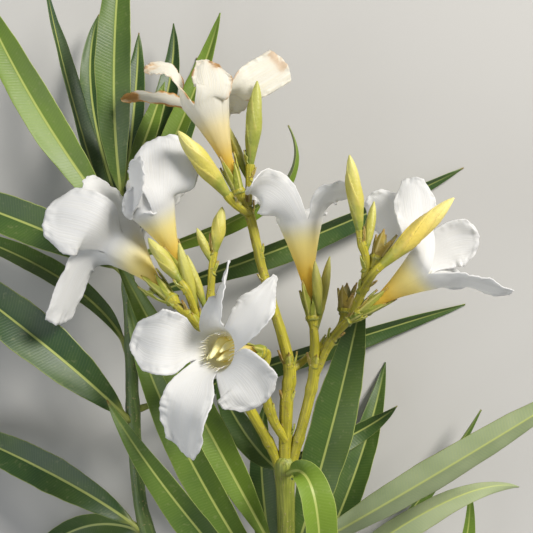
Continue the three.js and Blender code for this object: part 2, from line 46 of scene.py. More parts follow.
MM = 0.001
UP = Vector((0, 0, 1))
SHIFT = Vector((7.5, 27.2, 0))  # from the frame of the rows to the middle of the branch


def place(point):
    """A row's point, in the frame of the model."""
    return (Vector(point) + SHIFT) * MM


def placed(*points):
    return [place(point) for point in points]


class Amount:
    """A socket that carries a number or a vector, so that a rule reads as a sum. Each sum adds a node."""

    def __init__(self, socket):
        self.socket = socket

    def maths(self, operation, *others):
        node = self.socket.id_data.nodes.new("ShaderNodeMath")
        node.operation = operation
        for slot, value in zip(node.inputs, (self, *others)):
            feed(slot, value)
        return Amount(node.outputs[0])

    def __add__(self, other):
        return self.maths("ADD", other)

    def __sub__(self, other):
        return self.maths("SUBTRACT", other)

    def __mul__(self, other):
        return self.maths("MULTIPLY", other)

    def __truediv__(self, other):
        return self.maths("DIVIDE", other)

    def __pow__(self, other):
        return self.maths("POWER", other)

    def less_from(self, whole):
        """whole less this amount."""
        return (self * -1) + whole

    def size(self):
        return self.maths("ABSOLUTE")

    def smooth(self, low, high):
        """0 below low and 1 above high, with a soft step between."""
        node = self.socket.id_data.nodes.new("ShaderNodeMapRange")
        node.interpolation_type = "SMOOTHSTEP"
        for name, value in (("Value", self), ("From Min", low), ("From Max", high)):
            feed(node.inputs[name], value)
        return Amount(node.outputs["Result"])

    def towards(self, other, share):
        """This amount at a share of 0, and the other at 1."""
        return self + (other - self) * share

    def parts(self):
        node = self.socket.id_data.nodes.new("ShaderNodeSeparateXYZ")
        feed(node.inputs[0], self)
        return [Amount(socket) for socket in node.outputs]


def feed(socket, value):
    if isinstance(value, Amount):
        socket.id_data.links.new(socket, value.socket)
    else:
        socket.default_value = value


def vectors(operation, *values):
    """A sum of vectors. SCALE takes a vector and a number, and LENGTH gives a number."""
    beside = next(value for value in values if isinstance(value, Amount))
    node = beside.socket.id_data.nodes.new("ShaderNodeVectorMath")
    node.operation = operation
    for order, value in enumerate(values):
        feed(node.inputs["Scale" if operation == "SCALE" and order == 1 else order], value)
    return Amount(node.outputs["Value" if operation == "LENGTH" else "Vector"])


def joined(x, y, z):
    beside = next(value for value in (x, y, z) if isinstance(value, Amount))
    node = beside.socket.id_data.nodes.new("ShaderNodeCombineXYZ")
    for slot, value in zip(node.inputs, (x, y, z)):
        feed(slot, value)
    return Amount(node.outputs[0])


def added(tree, kind, inputs=None, **settings):
    """A new node, its settings made and its inputs fed."""
    node = tree.nodes.new(kind)
    for name, value in settings.items():
        setattr(node, name, value)
    for name, value in (inputs or {}).items():
        feed(node.inputs[name], value)
    return node


def result(tree, kind, inputs=None, output=0, **settings):
    """One output of a new node."""
    return Amount(added(tree, kind, inputs, **settings).outputs[output])


def grain_noise(tree, vector, scale, detail=2.0):
    return result(tree, "ShaderNodeTexNoise", {"Vector": vector, "Scale": scale, "Detail": detail})


SOCKETS = {
    "number": "NodeSocketFloat",
    "count": "NodeSocketInt",
    "point": "NodeSocketVector",
    "material": "NodeSocketMaterial",
    "geometry": "NodeSocketGeometry",
}


def growing_rule(name, **inputs):
    """A Geometry Nodes tree with named inputs. Gives the tree, its inputs and its output node."""
    tree = bpy.data.node_groups.new(name, "GeometryNodeTree")
    tree.interface.new_socket("Geometry", in_out="INPUT", socket_type=SOCKETS["geometry"])
    for label, kind in inputs.items():
        label = label.replace("_", " ").capitalize()
        tree.interface.new_socket(label, in_out="INPUT", socket_type=SOCKETS[kind])
    tree.interface.new_socket("Geometry", in_out="OUTPUT", socket_type=SOCKETS["geometry"])
    source = tree.nodes.new("NodeGroupInput")
    given = {socket.name: Amount(socket) for socket in source.outputs if socket.name}
    return tree, given, tree.nodes.new("NodeGroupOutput")


def stored(tree, geometry, name, value, kind="FLOAT_VECTOR"):
    inputs = {"Name": name, "Geometry": geometry, "Value": value}
    return result(tree, "GeometryNodeStoreNamedAttribute", inputs, data_type=kind, domain="POINT")


def finished_tree(tree, geometry, given, output):
    """Smooth faces, instances realized and the material set, which ends every tree."""
    smooth = result(tree, "GeometryNodeSetShadeSmooth", {"Geometry": geometry})
    real = result(tree, "GeometryNodeRealizeInstances", {"Geometry": smooth})
    inputs = {"Geometry": real, "Material": given["Material"]}
    feed(output.inputs[0], result(tree, "GeometryNodeSetMaterial", inputs))
    return tree


def linked(name, data):
    """A new object in the scene."""
    made = bpy.data.objects.new(name, data)
    bpy.context.collection.objects.link(made)
    return made


def grown(tree, start=None, **values):
    """A plain mesh, grown by a tree from a curve or from nothing."""
    holder = linked(tree.name, start or bpy.data.meshes.new(tree.name))
    modifier = holder.modifiers.new(tree.name, "NODES")
    modifier.node_group = tree
    wanted = {label.replace("_", " ").capitalize(): value for label, value in values.items()}
    for item in tree.interface.items_tree:
        if item.in_out == "INPUT" and item.name in wanted:
            modifier[item.identifier] = wanted.pop(item.name)
    if wanted:
        raise ValueError(f"{tree.name} has no input {sorted(wanted)}")
    graph = bpy.context.evaluated_depsgraph_get()
    mesh = bpy.data.meshes.new_from_object(holder.evaluated_get(graph))
    holder.modifiers.remove(modifier)
    bpy.data.objects.remove(holder)
    return mesh


def piece(name, mesh, replaces=()):
    """A finished piece, which rides with the branch and stands for its nodes."""
    made = linked(name, mesh)
    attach(made, "root")
    if replaces:
        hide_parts(*replaces)


def merged(meshes):
    """Several meshes with the same materials as one."""
    whole = bpy.data.meshes.new("merged")
    total = linked("merged", whole)
    chosen = [total, *(linked("part", mesh) for mesh in meshes)]
    for material in meshes[0].materials:
        whole.materials.append(material)
    with bpy.context.temp_override(
        active_object=total, selected_objects=chosen, selected_editable_objects=chosen
    ):
        bpy.ops.object.join()
    bpy.data.objects.remove(total)
    return whole


def bent_path(points):
    """A smooth line through points, as a function of a share from 0 to 1: a centripetal spline, whose
    spans are as long as the square root of the distance that they cover."""
    spans = len(points) - 1

    def at(share):
        here = min(int(share * spans), spans - 1)
        local = share * spans - here
        p1, p2 = points[here], points[here + 1]
        p0 = points[here - 1] if here > 0 else p1 * 2 - p2
        p3 = points[here + 2] if here + 2 <= spans else p2 * 2 - p1
        d0, d1, d2 = ((b - a).length ** 0.5 for a, b in ((p0, p1), (p1, p2), (p2, p3)))
        t1 = ((p1 - p0) / d0 - (p2 - p0) / (d0 + d1) + (p2 - p1) / d1) * d1
        t2 = ((p2 - p1) / d1 - (p3 - p1) / (d1 + d2) + (p3 - p2) / d2) * d1
        c2 = (p2 - p1) * 3 - t1 * 2 - t2
        c3 = (p1 - p2) * 2 + t1 + t2
        return p1 + t1 * local + c2 * local**2 + c3 * local**3

    return at


def between(values, share):
    """A value from an even list, by a share from 0 to 1."""
    spot = share * (len(values) - 1)
    before = min(int(spot), len(values) - 2)
    return values[before] + (values[before + 1] - values[before]) * (spot - before)


class Rod:
    """A stem or stalk: its line, its radii in millimetres, and how far along it each share lies."""

    STEPS = 240

    def __init__(self, points, radii):
        self.at = bent_path(points)
        self.radii = [radius * MM for radius in radii]
        spots = [self.at(k / self.STEPS) for k in range(self.STEPS + 1)]
        self.lengths = [0]
        for before, after in zip(spots, spots[1:]):
            self.lengths.append(self.lengths[-1] + (after - before).length)

    def share_at(self, length):
        """The share of the line at a length from its foot."""
        for k in range(self.STEPS):
            if self.lengths[k + 1] >= length:
                local = (length - self.lengths[k]) / (self.lengths[k + 1] - self.lengths[k])
                return (k + local) / self.STEPS
        return 1.0

    def heading(self, share):
        near = 0.5 / self.STEPS
        return (self.at(min(1, share + near)) - self.at(max(0, share - near))).normalized()

    def radius(self, share):
        return between(self.radii, share)


def curve_of(rods, step, swellings=(), rounded=False):
    """One curve object's data with a spline for each rod, swollen by a bump at each length given. A
    rounded rod closes to a dome at its end."""
    data = bpy.data.curves.new("line", "CURVE")
    data.dimensions = "3D"
    for rod in rods:
        count = max(4, round(rod.lengths[-1] / step))
        spline = data.splines.new("POLY")
        spline.points.add(count)
        for k, point in enumerate(spline.points):
            length = rod.lengths[-1] * k / count
            share = rod.share_at(length)
            swell = sum(
                height * math.exp(-(((length - where) / width) ** 2)) for where, width, height in swellings
            )
            radius = rod.radius(share) + swell
            if rounded:
                into = max(0.0, 1 - (rod.lengths[-1] - length) / radius)
                radius *= math.sqrt(max(0.0004, 1 - into * into))
            point.co = (*rod.at(share), 1)
            point.radius = radius
    return data


RIDGES = 5.0  # round every stem and stalk
RIDGE_TWIST = 60.0  # by which the ridges wind, in radians a metre


def rod_rule():
    """Curve to a round stem with a slightly uneven skin. Stores ring, the place in the round section,
    and grain, the same with the length along the stem, for the material's streaks."""
    tree, given, output = growing_rule(
        "round stem", sides="count", lumps="number", ridges="number", material="material"
    )
    radius = result(tree, "GeometryNodeInputRadius")
    length = result(tree, "GeometryNodeSplineParameter", output="Length")
    line = stored(tree, given["Geometry"], "along", length, "FLOAT")
    line = stored(tree, line, "thick", radius, "FLOAT")
    circle = result(tree, "GeometryNodeCurvePrimitiveCircle", {"Resolution": given["Sides"], "Radius": 1.0})
    profile = stored(tree, circle, "ring", result(tree, "GeometryNodeInputPosition"))
    inputs = {"Curve": line, "Profile Curve": profile, "Fill Caps": True, "Scale": radius}
    tube = result(tree, "GeometryNodeCurveToMesh", inputs)

    def read(name, kind="FLOAT"):
        return result(tree, "GeometryNodeInputNamedAttribute", {"Name": name}, data_type=kind)

    ring = read("ring", "FLOAT_VECTOR")
    ring_x, ring_y, _ = ring.parts()
    across = vectors("SCALE", ring, read("thick"))
    grain = vectors("ADD", across, joined(0.0, 0.0, read("along")))
    skin = stored(tree, tube, "grain", grain)
    lump = (grain_noise(tree, grain, 260.0, 3.0) - 0.5) * given["Lumps"]
    winding = ring_y.maths("ARCTAN2", ring_x) * RIDGES + read("along") * RIDGE_TWIST
    lump = lump + winding.maths("SINE") * read("thick") * given["Ridges"]
    offset = vectors("SCALE", result(tree, "GeometryNodeInputNormal"), lump)
    moved = result(tree, "GeometryNodeSetPosition", {"Geometry": skin, "Offset": offset})
    return finished_tree(tree, moved, given, output)


def new_material(name):
    """A new material with its tree, its Principled shader and its output."""
    material = bpy.data.materials.new(name)
    material.use_nodes = True
    tree = material.node_tree
    return material, tree, tree.nodes["Principled BSDF"], tree.nodes["Material Output"]


def read_attribute(tree, name):
    return result(tree, "ShaderNodeAttribute", output="Vector", attribute_name=name)


def object_spot(tree):
    return result(tree, "ShaderNodeTexCoord", output="Object")


def colour(tree, first, second, share):
    """One colour turning into another by a share."""
    node = added(tree, "ShaderNodeMix", data_type="RGBA", clamp_factor=True)
    for slot, value in zip((node.inputs["Factor"], node.inputs[6], node.inputs[7]), (share, first, second)):
        if not isinstance(value, Amount) and not isinstance(value, float):
            value = (*value, 1)
        feed(slot, value)
    return Amount(node.outputs[2])


def bumped(tree, height, distance):
    return result(tree, "ShaderNodeBump", {"Height": height, "Distance": distance, "Strength": 1.0})


def soften(shader, weight, radius):
    """Light spreads a little under the skin."""
    shader.inputs["Subsurface Weight"].default_value = weight
    shader.inputs["Subsurface Radius"].default_value = radius


def mottle_group():
    """Shared by every green finish: soft blotches and fine specks, from 0 to 1 each."""
    group = bpy.data.node_groups.new("plant mottle", "ShaderNodeTree")
    for label, kind in (("Vector", "NodeSocketVector"), ("Size", "NodeSocketFloat")):
        group.interface.new_socket(label, in_out="INPUT", socket_type=kind)
    for label in ("Blotches", "Specks"):
        group.interface.new_socket(label, in_out="OUTPUT", socket_type="NodeSocketFloat")
    source = group.nodes.new("NodeGroupInput")
    vector, size = (Amount(source.outputs[label]) for label in ("Vector", "Size"))
    output = group.nodes.new("NodeGroupOutput")
    frequency = size ** -1.0
    feed(output.inputs["Blotches"], grain_noise(group, vector, frequency, 3.0).smooth(0.3, 0.7))
    feed(output.inputs["Specks"], grain_noise(group, vector, frequency * 14.0, 1.0).smooth(0.62, 0.74))
    return group


mottle = mottle_group()


def mottled(tree, vector, size):
    node = added(tree, "ShaderNodeGroup", {"Vector": vector, "Size": size}, node_tree=mottle)
    return Amount(node.outputs["Blotches"]), Amount(node.outputs["Specks"])


CORK = (0.34, 0.27, 0.12)
SCAR = (0.17, 0.085, 0.03)
PITH = (0.52, 0.42, 0.22)
WOOD = (0.74, 0.68, 0.44)
INNER_BARK = (0.36, 0.42, 0.12)


def stem_finish(name, light, dark, scars):
    """Green skin with streaks along it, corky specks, brown scars and a pale cut face."""
    material, tree, shader, _ = new_material(name)
    grain = read_attribute(tree, "grain")
    x, y, along = grain.parts()
    streaks = grain_noise(tree, joined(x, y, along * 0.06), 1900.0, 3.0).smooth(0.35, 0.7)
    blotches, specks = mottled(tree, grain, 0.011)
    skin = colour(tree, dark, light, streaks * 0.55 + blotches * 0.45)
    skin = colour(tree, skin, CORK, specks * 0.6)
    skin = colour(tree, skin, SCAR, grain_noise(tree, grain, 240.0, 4.0).smooth(0.6, 0.75) * scars)
    inward = vectors("LENGTH", read_attribute(tree, "ring"))
    cut = inward.smooth(0.93, 0.975).less_from(1.0)
    wood = colour(tree, PITH, WOOD, inward.smooth(0.1, 0.35))
    wood = colour(tree, wood, INNER_BARK, inward.smooth(0.72, 0.86))
    feed(shader.inputs["Base Color"], colour(tree, skin, wood, cut))
    feed(shader.inputs["Roughness"], streaks * 0.12 + 0.42)
    feed(shader.inputs["Normal"], bumped(tree, streaks * 0.5 + specks, 0.00012))
    soften(shader, 0.08, (0.0015, 0.002, 0.0006))
    return material


def square_to(direction, along):
    """The part of a direction that is square to another."""
    return (direction - along * direction.dot(along)).normalized()


round_stem = rod_rule()
stem_skin = stem_finish("stem skin", (0.32, 0.34, 0.05), (0.125, 0.155, 0.02), 0.45)

STEM_SIDES = 28
STEM_STEP = 0.0011
STEM_LUMPS = 0.00035
STEM_RIDGES = 0.015  # height of the five soft ridges, as a share of the radius
NODE_WIDTH = 0.0035  # of the swelling at each whorl of leaves
NODE_HEIGHT = 0.00035

main = Rod(
    placed(
        (4.5, -157.5, 3.29), (5.1, -130, 11), (5.9, -104, 19), (6.3, -84, 26), (5.8, -65, 31.4),
        (5.6, -58.5, 33),
    ),
    [3.4, 3.2, 2.9, 2.8, 3, 3.4],
)
main_nodes = [(height * MM, NODE_WIDTH, NODE_HEIGHT) for height in (15, 27, 46, 66, 98)]
main_curve = curve_of([main], STEM_STEP / 2, main_nodes, rounded=True)
main_mesh = grown(
    round_stem, main_curve, sides=STEM_SIDES, lumps=STEM_LUMPS, ridges=STEM_RIDGES, material=stem_skin
)
piece("main_stem_skin", main_mesh, ["main_stem"])

# Left shoot
# A younger, greener and leafier shoot, which bends out of the stem low down and runs up beside it. It is
# thinner, and it ends in a tuft of leaves behind the flowers.

shoot_skin = stem_finish("shoot skin", (0.13, 0.19, 0.045), (0.045, 0.085, 0.02), 0.15)
SHOOT_SIDES = 24

left = Rod(
    placed(
        (3.2, -127.2, 14), (-10, -118, 17.5), (-23, -108.5, 19.2), (-33.5, -96, 21), (-39.6, -81, 23),
        (-42.5, -48, 26), (-43, -23.5, 28), (-44, 0.5, 29), (-45, 22, 30), (-45.5, 31, 30.5),
    ),
    [2.6, 2.5, 2.4, 2.3, 2.2, 2.1, 2, 1.9, 1.6, 0.7],
)
left_nodes = [(height * MM, NODE_WIDTH, NODE_HEIGHT) for height in (63, 101, 122, 140, 152)]
left_curve = curve_of([left], STEM_STEP, left_nodes)
left_mesh = grown(
    round_stem, left_curve, sides=SHOOT_SIDES, lumps=STEM_LUMPS, ridges=STEM_RIDGES, material=shoot_skin
)
piece("left_shoot_skin", left_mesh, ["left_shoot_foot", "left_shoot_stem"])

# Leaves
# Narrow leathery blades on short thick stalks, in whorls. Each is folded a little along a pale midrib that
# stands out below, with close fine side veins, a thin pale margin and a greyer underside.

LEAF_THICKNESS = 0.0005
LEAF_FOLD = 0.44  # rise of the margins above the midrib, as a share of half the width
RIB_HEIGHT = 0.0004
RIB_WIDTH = 0.0007
PETIOLE_RADIUS = 0.0009
PETIOLE_SHARE = 0.16  # of the leaf's length
SEAT_GAP = 0.0003  # that the solids keep between a leaf and its stem
LEAF_WAVE = 0.0011
SINK = 0.0014  # how far a leaf's stalk reaches into the stem
DIP_TRIES = 5  # passes in which a resting leaf settles on the table
LEAF_POINTS = 28
LEAF_RINGS = 60
SIDE_VEIN_GAP = 0.00095
PETIOLE_GREEN = (0.33, 0.36, 0.08)
PAINTED_SUNLIT_UNDERSIDE = (0.47, 0.52, 0.31)
WITHERED_BROWN = (0.30, 0.17, 0.05)
LEAF_SPECK = (0.42, 0.4, 0.2)
LEAF_GLOW = (0.5, 0.7, 0.04)


def unit_cylinder(tree, sides, rings):
    """A cylinder of radius and height 1, its section's x and y, and the share up from its foot."""
    inputs = {"Vertices": sides, "Side Segments": rings, "Radius": 1.0, "Depth": 1.0}
    cylinder = result(tree, "GeometryNodeMeshCylinder", inputs, "Mesh")
    x, y, z = result(tree, "GeometryNodeInputPosition").parts()
    return cylinder, x, y, z + 0.5


def blade_rule():
    """A closed blade along a curve from root to tip: round as a stalk at its root, then flat with a rib.
    Stores blade, the shares across and along with the side, and sized, the same in metres with the tone."""
    tree, given, output = growing_rule(
        "oleander blade",
        root="point", bend="point", tip="point", width="number", roll="number", twist="number",
        dip="number", fold="number", thickness="number", rib="number", stalk_radius="number",
        stalk_share="number", broad_foot="number", wave="number", tone="number", seed="number",
        points="count", rings="count", material="material",
    )
    cylinder, x, y, u = unit_cylinder(tree, given["Points"], given["Rings"])
    line = result(
        tree, "GeometryNodeCurveQuadraticBezier",
        {"Resolution": 96, "Start": given["Root"], "Middle": given["Bend"], "End": given["Tip"]},
    )
    sample = added(tree, "GeometryNodeSampleCurve", {"Curves": line, "Factor": u}, mode="FACTOR")
    drop = joined(0.0, 0.0, given["Dip"] * u * u * -1.0)
    centre = vectors("ADD", Amount(sample.outputs["Position"]), drop)
    along = Amount(sample.outputs["Tangent"])
    upright = vectors("SUBTRACT", tuple(UP), vectors("SCALE", along, along.parts()[2]))
    up = result(
        tree, "ShaderNodeVectorRotate",
        {"Vector": vectors("NORMALIZE", upright), "Axis": along, "Angle": given["Roll"] + given["Twist"] * u},
        rotation_type="AXIS_ANGLE",
    )
    side = vectors("CROSS_PRODUCT", up, along)
    stalk = u.smooth(0.02, given["Stalk share"]).less_from(1.0)
    shrink = ((u - 0.03) / 0.97).maths("MAXIMUM", 0.0) ** 0.92
    arc = given["Broad foot"] + shrink * given["Broad foot"].less_from(1.0)
    outline = (arc * math.pi).maths("SINE").maths("MAXIMUM", 0.0) ** 0.78
    edge_noise = grain_noise(tree, joined(u * 9.0, x.maths("SIGN"), given["Seed"]), 1.0, 2.0) - 0.5
    half = given["Width"] * outline * (edge_noise * 0.1 + 0.5)
    flare = u.smooth(0.0, 0.3).less_from(1.0) + u.smooth(0.0, 0.05).less_from(1.0) * 0.4
    foot = given["Stalk radius"] * flare
    half = half.maths("MAXIMUM", foot).maths("MAXIMUM", 0.0002)
    across = (x * x.size() ** 0.6).towards(x, stalk)
    width_now = across * half
    thick = (given["Thickness"] * 0.5).towards(foot, stalk)
    ridge = ((width_now / RIB_WIDTH) ** 2.0 * -1.0).maths("EXPONENT")
    ridge = ridge * u.less_from(1.2) * stalk.less_from(1.0)
    below = y.smooth(-0.3, 0.0).less_from(1.0)
    rib = ridge * given["Rib"] * (below + 0.35) * -1.0
    lift = half * given["Fold"] * (across.size() ** 1.25) * stalk.less_from(1.0)
    ripple = grain_noise(tree, joined(u * 4.5, across * 0.8, given["Seed"] + 7.0), 1.0, 1.0) - 0.5
    ripple = ripple * given["Wave"] * across * across * stalk.less_from(1.0) * 2.0
    height = y * thick + rib + lift + ripple
    section = vectors("ADD", vectors("SCALE", side, width_now), vectors("SCALE", up, height))
    length = result(tree, "GeometryNodeCurveLength", {"Curve": line})
    blade = stored(tree, cylinder, "blade", joined(across, u, y))
    blade = stored(tree, blade, "sized", joined(width_now, u * length, given["Tone"]))
    inputs = {"Geometry": blade, "Position": vectors("ADD", centre, section)}
    return finished_tree(tree, result(tree, "GeometryNodeSetPosition", inputs), given, output)


def lit_through(tree, shader, output, tint, share):
    """A thin sheet that lets a share of the light through, tinted."""
    glow = added(tree, "ShaderNodeBsdfTranslucent", {"Color": tint})
    mix = added(tree, "ShaderNodeMixShader")
    feed(mix.inputs[0], share)
    tree.links.new(mix.inputs[1], shader.outputs[0])
    tree.links.new(mix.inputs[2], glow.outputs[0])
    tree.links.new(output.inputs["Surface"], mix.outputs[0])


def leaf_finish(name, shade, sun, under, vein, dry):
    """Both sides of a blade with its veins, margin and stalk. On leaves the tone paints the upper side from
    shade to sunlight and pales the underside as if sunlit; on sepals and bracts it is a varied tone. dry is
    the withered share at its tip.
    """
    material, tree, shader, output = new_material(name)
    across, u, y = read_attribute(tree, "blade").parts()
    x, along, tone = read_attribute(tree, "sized").parts()
    spot = object_spot(tree)
    blotches, specks = mottled(tree, spot, 0.02)
    # painted shade and painted sunlight: the tone turns the upper side from its shade colour to its sun
    # colour
    upper = colour(tree, shade, sun, tone + (blotches - 0.5) * 0.16)
    # painted sunlight pales the underside with the tone, and random blotches pale it too
    lower = colour(tree, under, PAINTED_SUNLIT_UNDERSIDE, tone * 0.6 + blotches * 0.3)
    top = y.smooth(-0.08, 0.08)
    blade = colour(tree, lower, upper, top)
    wander = (grain_noise(tree, spot, 300.0, 2.0) - 0.5) * 0.0006
    phase = (along - x.size() * 0.4 + wander) * (2 * math.pi / SIDE_VEIN_GAP)
    ribs = phase.maths("SINE").smooth(0.0, 1.0)
    ribs = ribs * u.smooth(0.06, 0.14) * across.size().smooth(0.05, 0.2)
    blade = colour(tree, blade, vein, ribs * (top * -0.06 + 0.1))
    narrow = u * -0.0002 + 0.0003
    middle = (x.size() - narrow).smooth(0.0, 0.00025).less_from(1.0) * u.smooth(0.8, 1.02).less_from(1.0)
    blade = colour(tree, blade, vein, middle * 0.75)
    margin = across.size().smooth(0.95, 0.99)
    blade = colour(tree, blade, vein, margin * 0.65)
    stalk = u.smooth(0.02, 0.12).less_from(1.0)
    blade = colour(tree, blade, PETIOLE_GREEN, stalk * 0.8)
    withered = (u + (blotches - 0.5) * dry * 2.0).smooth(1.0 - dry, 1.02 - dry * 0.5)
    blade = colour(tree, blade, WITHERED_BROWN, withered * 0.7)
    blade = colour(tree, blade, LEAF_SPECK, specks * 0.12)
    feed(shader.inputs["Base Color"], blade)
    feed(shader.inputs["Roughness"], (top * -0.16 + 0.58) + blotches * 0.06)
    shader.inputs["Specular IOR Level"].default_value = 0.46
    relief = ribs * -0.15 + grain_noise(tree, spot, 900.0, 2.0) * 0.3 + middle * 0.4
    feed(shader.inputs["Normal"], bumped(tree, relief, 0.0001))
    lit_through(tree, shader, output, colour(tree, blade, LEAF_GLOW, 0.45), 0.18)
    return material


blade_tree = blade_rule()
leaf_green = leaf_finish(
    "leaf green", (0.01, 0.045, 0.018), (0.23, 0.35, 0.028), (0.15, 0.22, 0.09), (0.48, 0.53, 0.15), 0.015
)

# name: length up the stem, mid and tip of the midrib, width, roll, twist, tone from painted shade to painted
# sunlight
MAIN_LEAVES = {
    "leaf_right_long": (68, (47, -63, 50), (97, -30, 58), 9.5, 172, 10, 0.6),
    "leaf_right_upright": (64, (20.6, -51, 29), (30.3, -8, 31), 14, -8, 6, 0.25),
    "leaf_left_inner": (66, (-20.5, -47, 32), (-47, 3, 35), 11, 8, 0, 0.5),
    "leaf_left_outer": (50, (-26.5, -52, 42), (-42, -10, 42), 10.5, 6, -10, 0.4),
    "leaf_left_front": (44, (-26.5, -69, 52), (-45.5, -38, 60), 10, -14, 20, 0.3),
    "leaf_right_narrow": (47, (50, -76, 35), (79.5, -69.5, 30), 9, 140, 10, 0.7),
    "leaf_arched": (98, (14, -68, 50), (16, -104, 42), 11, -20, -10, 0.65),
    "leaf_behind_fork": (101, (27, -57, 11), (43, -46, 16), 8, 15, 0, 0.15),
    "leaf_left_short": (97, (-6, -55, 22), (-16, -36.5, 24), 9, -15, 0, 0.25),
    "leaf_behind_stem": (48, (-1.5, -69, 16), (0, -44, 18), 9, 0, 0, 0.15),
    "leaf_right_back": (43, (28, -74, 10), (41, -33, 2), 10, -10, 0, 0.2),
    "leaf_right_low": (30, (44, -88, 8), (72, -48, 10), 8, 40, 0, 0.3),
    "leaf_right_hooked": (26, (53, -115, 14), (66, -72, 20), 9, 20, 0, 0.5),
    "leaf_foot_left": (22, (-28, -141, 7), (-62, -126, 2), 10, 0, 0, 0.3),
    "leaf_foot_back": (14, (26, -134, 4), (50, -146, 2), 9, 0, 0, 0.25),
}
SHOOT_LEAVES = {
    "leaf_shoot_lowest": (62, (-69, -68, 20), (-112, -54, 2), 12, 12, 0, 0.12),
    "leaf_shoot_low_back": (60, (-62, -88, 8), (-84, -104, 2), 9, 0, 0, 0.2),
    "leaf_shoot_broad": (98, (-69, -24, 36), (-112, 7, 30), 15, 14, 0, 0.12),
    "leaf_shoot_across": (101, (11, -30, 10), (68.5, -13, 3), 9, 38, -8, 0.15),
    "leaf_shoot_thin": (120, (-66, -5, 18), (-112, 14, 3), 8.5, 30, 0, 0.2),
    "leaf_shoot_long": (137, (11, 8.5, 15), (68, 34, 3), 10, 42, -6, 0.15),
    "leaf_shoot_upper": (145, (-67, 10, 31), (-111, 26, 22), 13, 10, 0, 0.2),
    "leaf_shoot_curled": (150, (1, 22, 26), (6.9, 44.5, 30), 8, 40, 40, 0.7),
    "leaf_top_slanting": (159, (-71, 49.6, 37), (-92, 90, 32), 11.5, 5, 0, 0.55),
    "leaf_top_edge": (150, (-60.5, 48, 27), (-71, 90, 24), 9, 62, 0, 0.12),
    "leaf_top_tall": (167, (-46.7, 58, 39), (-44, 104, 37), 11, 0, 0, 0.3),
    "leaf_top_back": (163, (-58, 56, 13), (-56.5, 85, 8), 8, 0, 0, 0.15),
    "leaf_top_dark": (171, (-42.5, 54, 22), (-41.5, 76, 20), 7, 0, 0, 0.1),
    "leaf_top_mid": (165, (-33.5, 54, 15), (-31, 81, 12), 8, 0, 0, 0.15),
    "leaf_top_right": (157, (-24.5, 54, 21), (-15, 82, 22), 8, -20, 0, 0.6),
    "leaf_top_low": (155, (-28, 46, 9), (-24, 72, 2), 8, 0, 0, 0.15),
    "leaf_top_young": (172, (-37, 43, 31), (-32, 58, 31), 6, 0, 0, 0.5),
}
RESTING = (
    "leaf_right_back", "leaf_foot_left", "leaf_foot_back", "leaf_shoot_lowest", "leaf_shoot_low_back",
    "leaf_shoot_across", "leaf_shoot_thin", "leaf_shoot_long", "leaf_top_low",
)


def leaf_mesh(rod, row, seed, rests):
    """One leaf. One that rests bends down by more of a dip until it touches the table."""
    height, mid, tip, width, roll, twist, tone = row
    mid, tip = place(mid), place(tip)
    share = rod.share_at(height * MM)
    centre = rod.at(share)
    heading = (mid * 2 - (centre + tip) / 2 - centre).normalized()
    outward = square_to(heading, rod.heading(share))
    slant = math.sqrt(max(0.0, 1 - heading.dot(outward) ** 2))
    root = centre + outward * (rod.radius(share) + SEAT_GAP + PETIOLE_RADIUS * slant - SINK)
    dip = 0.0
    for _ in range(DIP_TRIES if rests else 1):
        mesh = grown(
            blade_tree, root=root, bend=mid * 2 - (root + tip) / 2, tip=tip, width=width * MM,
            roll=math.radians(roll), twist=math.radians(twist), dip=dip, fold=LEAF_FOLD,
            thickness=LEAF_THICKNESS, rib=RIB_HEIGHT, stalk_radius=PETIOLE_RADIUS,
            stalk_share=PETIOLE_SHARE, broad_foot=0.0, wave=LEAF_WAVE, tone=tone, seed=float(seed),
            points=LEAF_POINTS, rings=LEAF_RINGS, material=leaf_green,
        )
        dip += min(vertex.co.z for vertex in mesh.vertices)
    return mesh


for rod, rows in ((main, MAIN_LEAVES), (left, SHOOT_LEAVES)):
    for name, row in rows.items():
        mesh = leaf_mesh(rod, row, sum(map(ord, name)) % 97, name in RESTING)
        piece(f"{name}_blade", mesh, [name])

# Flower stalks
# Three thin yellow-green stalks part at the fork and branch again. Each twig ends in a cup with five narrow
# pointed sepals that hold a flower, or in a bud. Small brown-edged bracts sit where twigs part.

LENS_HEIGHT = 345  # millimetres from the table to the photograph's camera
STALK_HEIGHT = 45  # the level at which the rows of the flower head are drawn to size
CUP_HEIGHT = 2.6  # this and the sizes below are in millimetres
CUP_RADIUS = 2.2
CUP_GAP = 0.3  # between a cup or a twig's end and what it carries
BUD_SINK = 0.8  # how far a twig's end reaches into its bud
RUN_IN = 2.5  # the straight end of a twig
SEPALS = 5
SEPAL_LENGTH = 10.5
SEPAL_WIDTH = 3.1
SEPAL_SPREAD = 1.6
BRACT_WIDTH = 2.5


def seen(point):
    """A row's point of the flower head, where what is nearer the lens is drawn in."""
    share = (LENS_HEIGHT - point[2]) / (LENS_HEIGHT - STALK_HEIGHT)
    return place((point[0] * share, point[1] * share, point[2]))


# name: foot of the tube, middle of the rim. The spent ones have lost their petals.
FLOWER_AXES = {
    "flower_front": ((-2.6, -25.7, 50), (-15.6, -25, 70)),
    "flower_left": ((-29.2, -9, 55), (-42.6, 5.6, 44)),
    "flower_left_upper": ((-24.7, -2.5, 49), (-34, 17.5, 53)),
    "flower_top": ((-8.8, 23.5, 50), (-17.8, 48.7, 51)),
    "flower_centre": ((13.6, -14.2, 46), (10, 13.9, 47)),
    "flower_right": ((28.6, -13.6, 53), (47.8, -0.5, 57)),
    "spent": ((23.7, -11.5, 43.5), (25, 0, 48)),
    "spent_right": ((33.6, 3.8, 59.5), (38, 13.5, 60)),
}
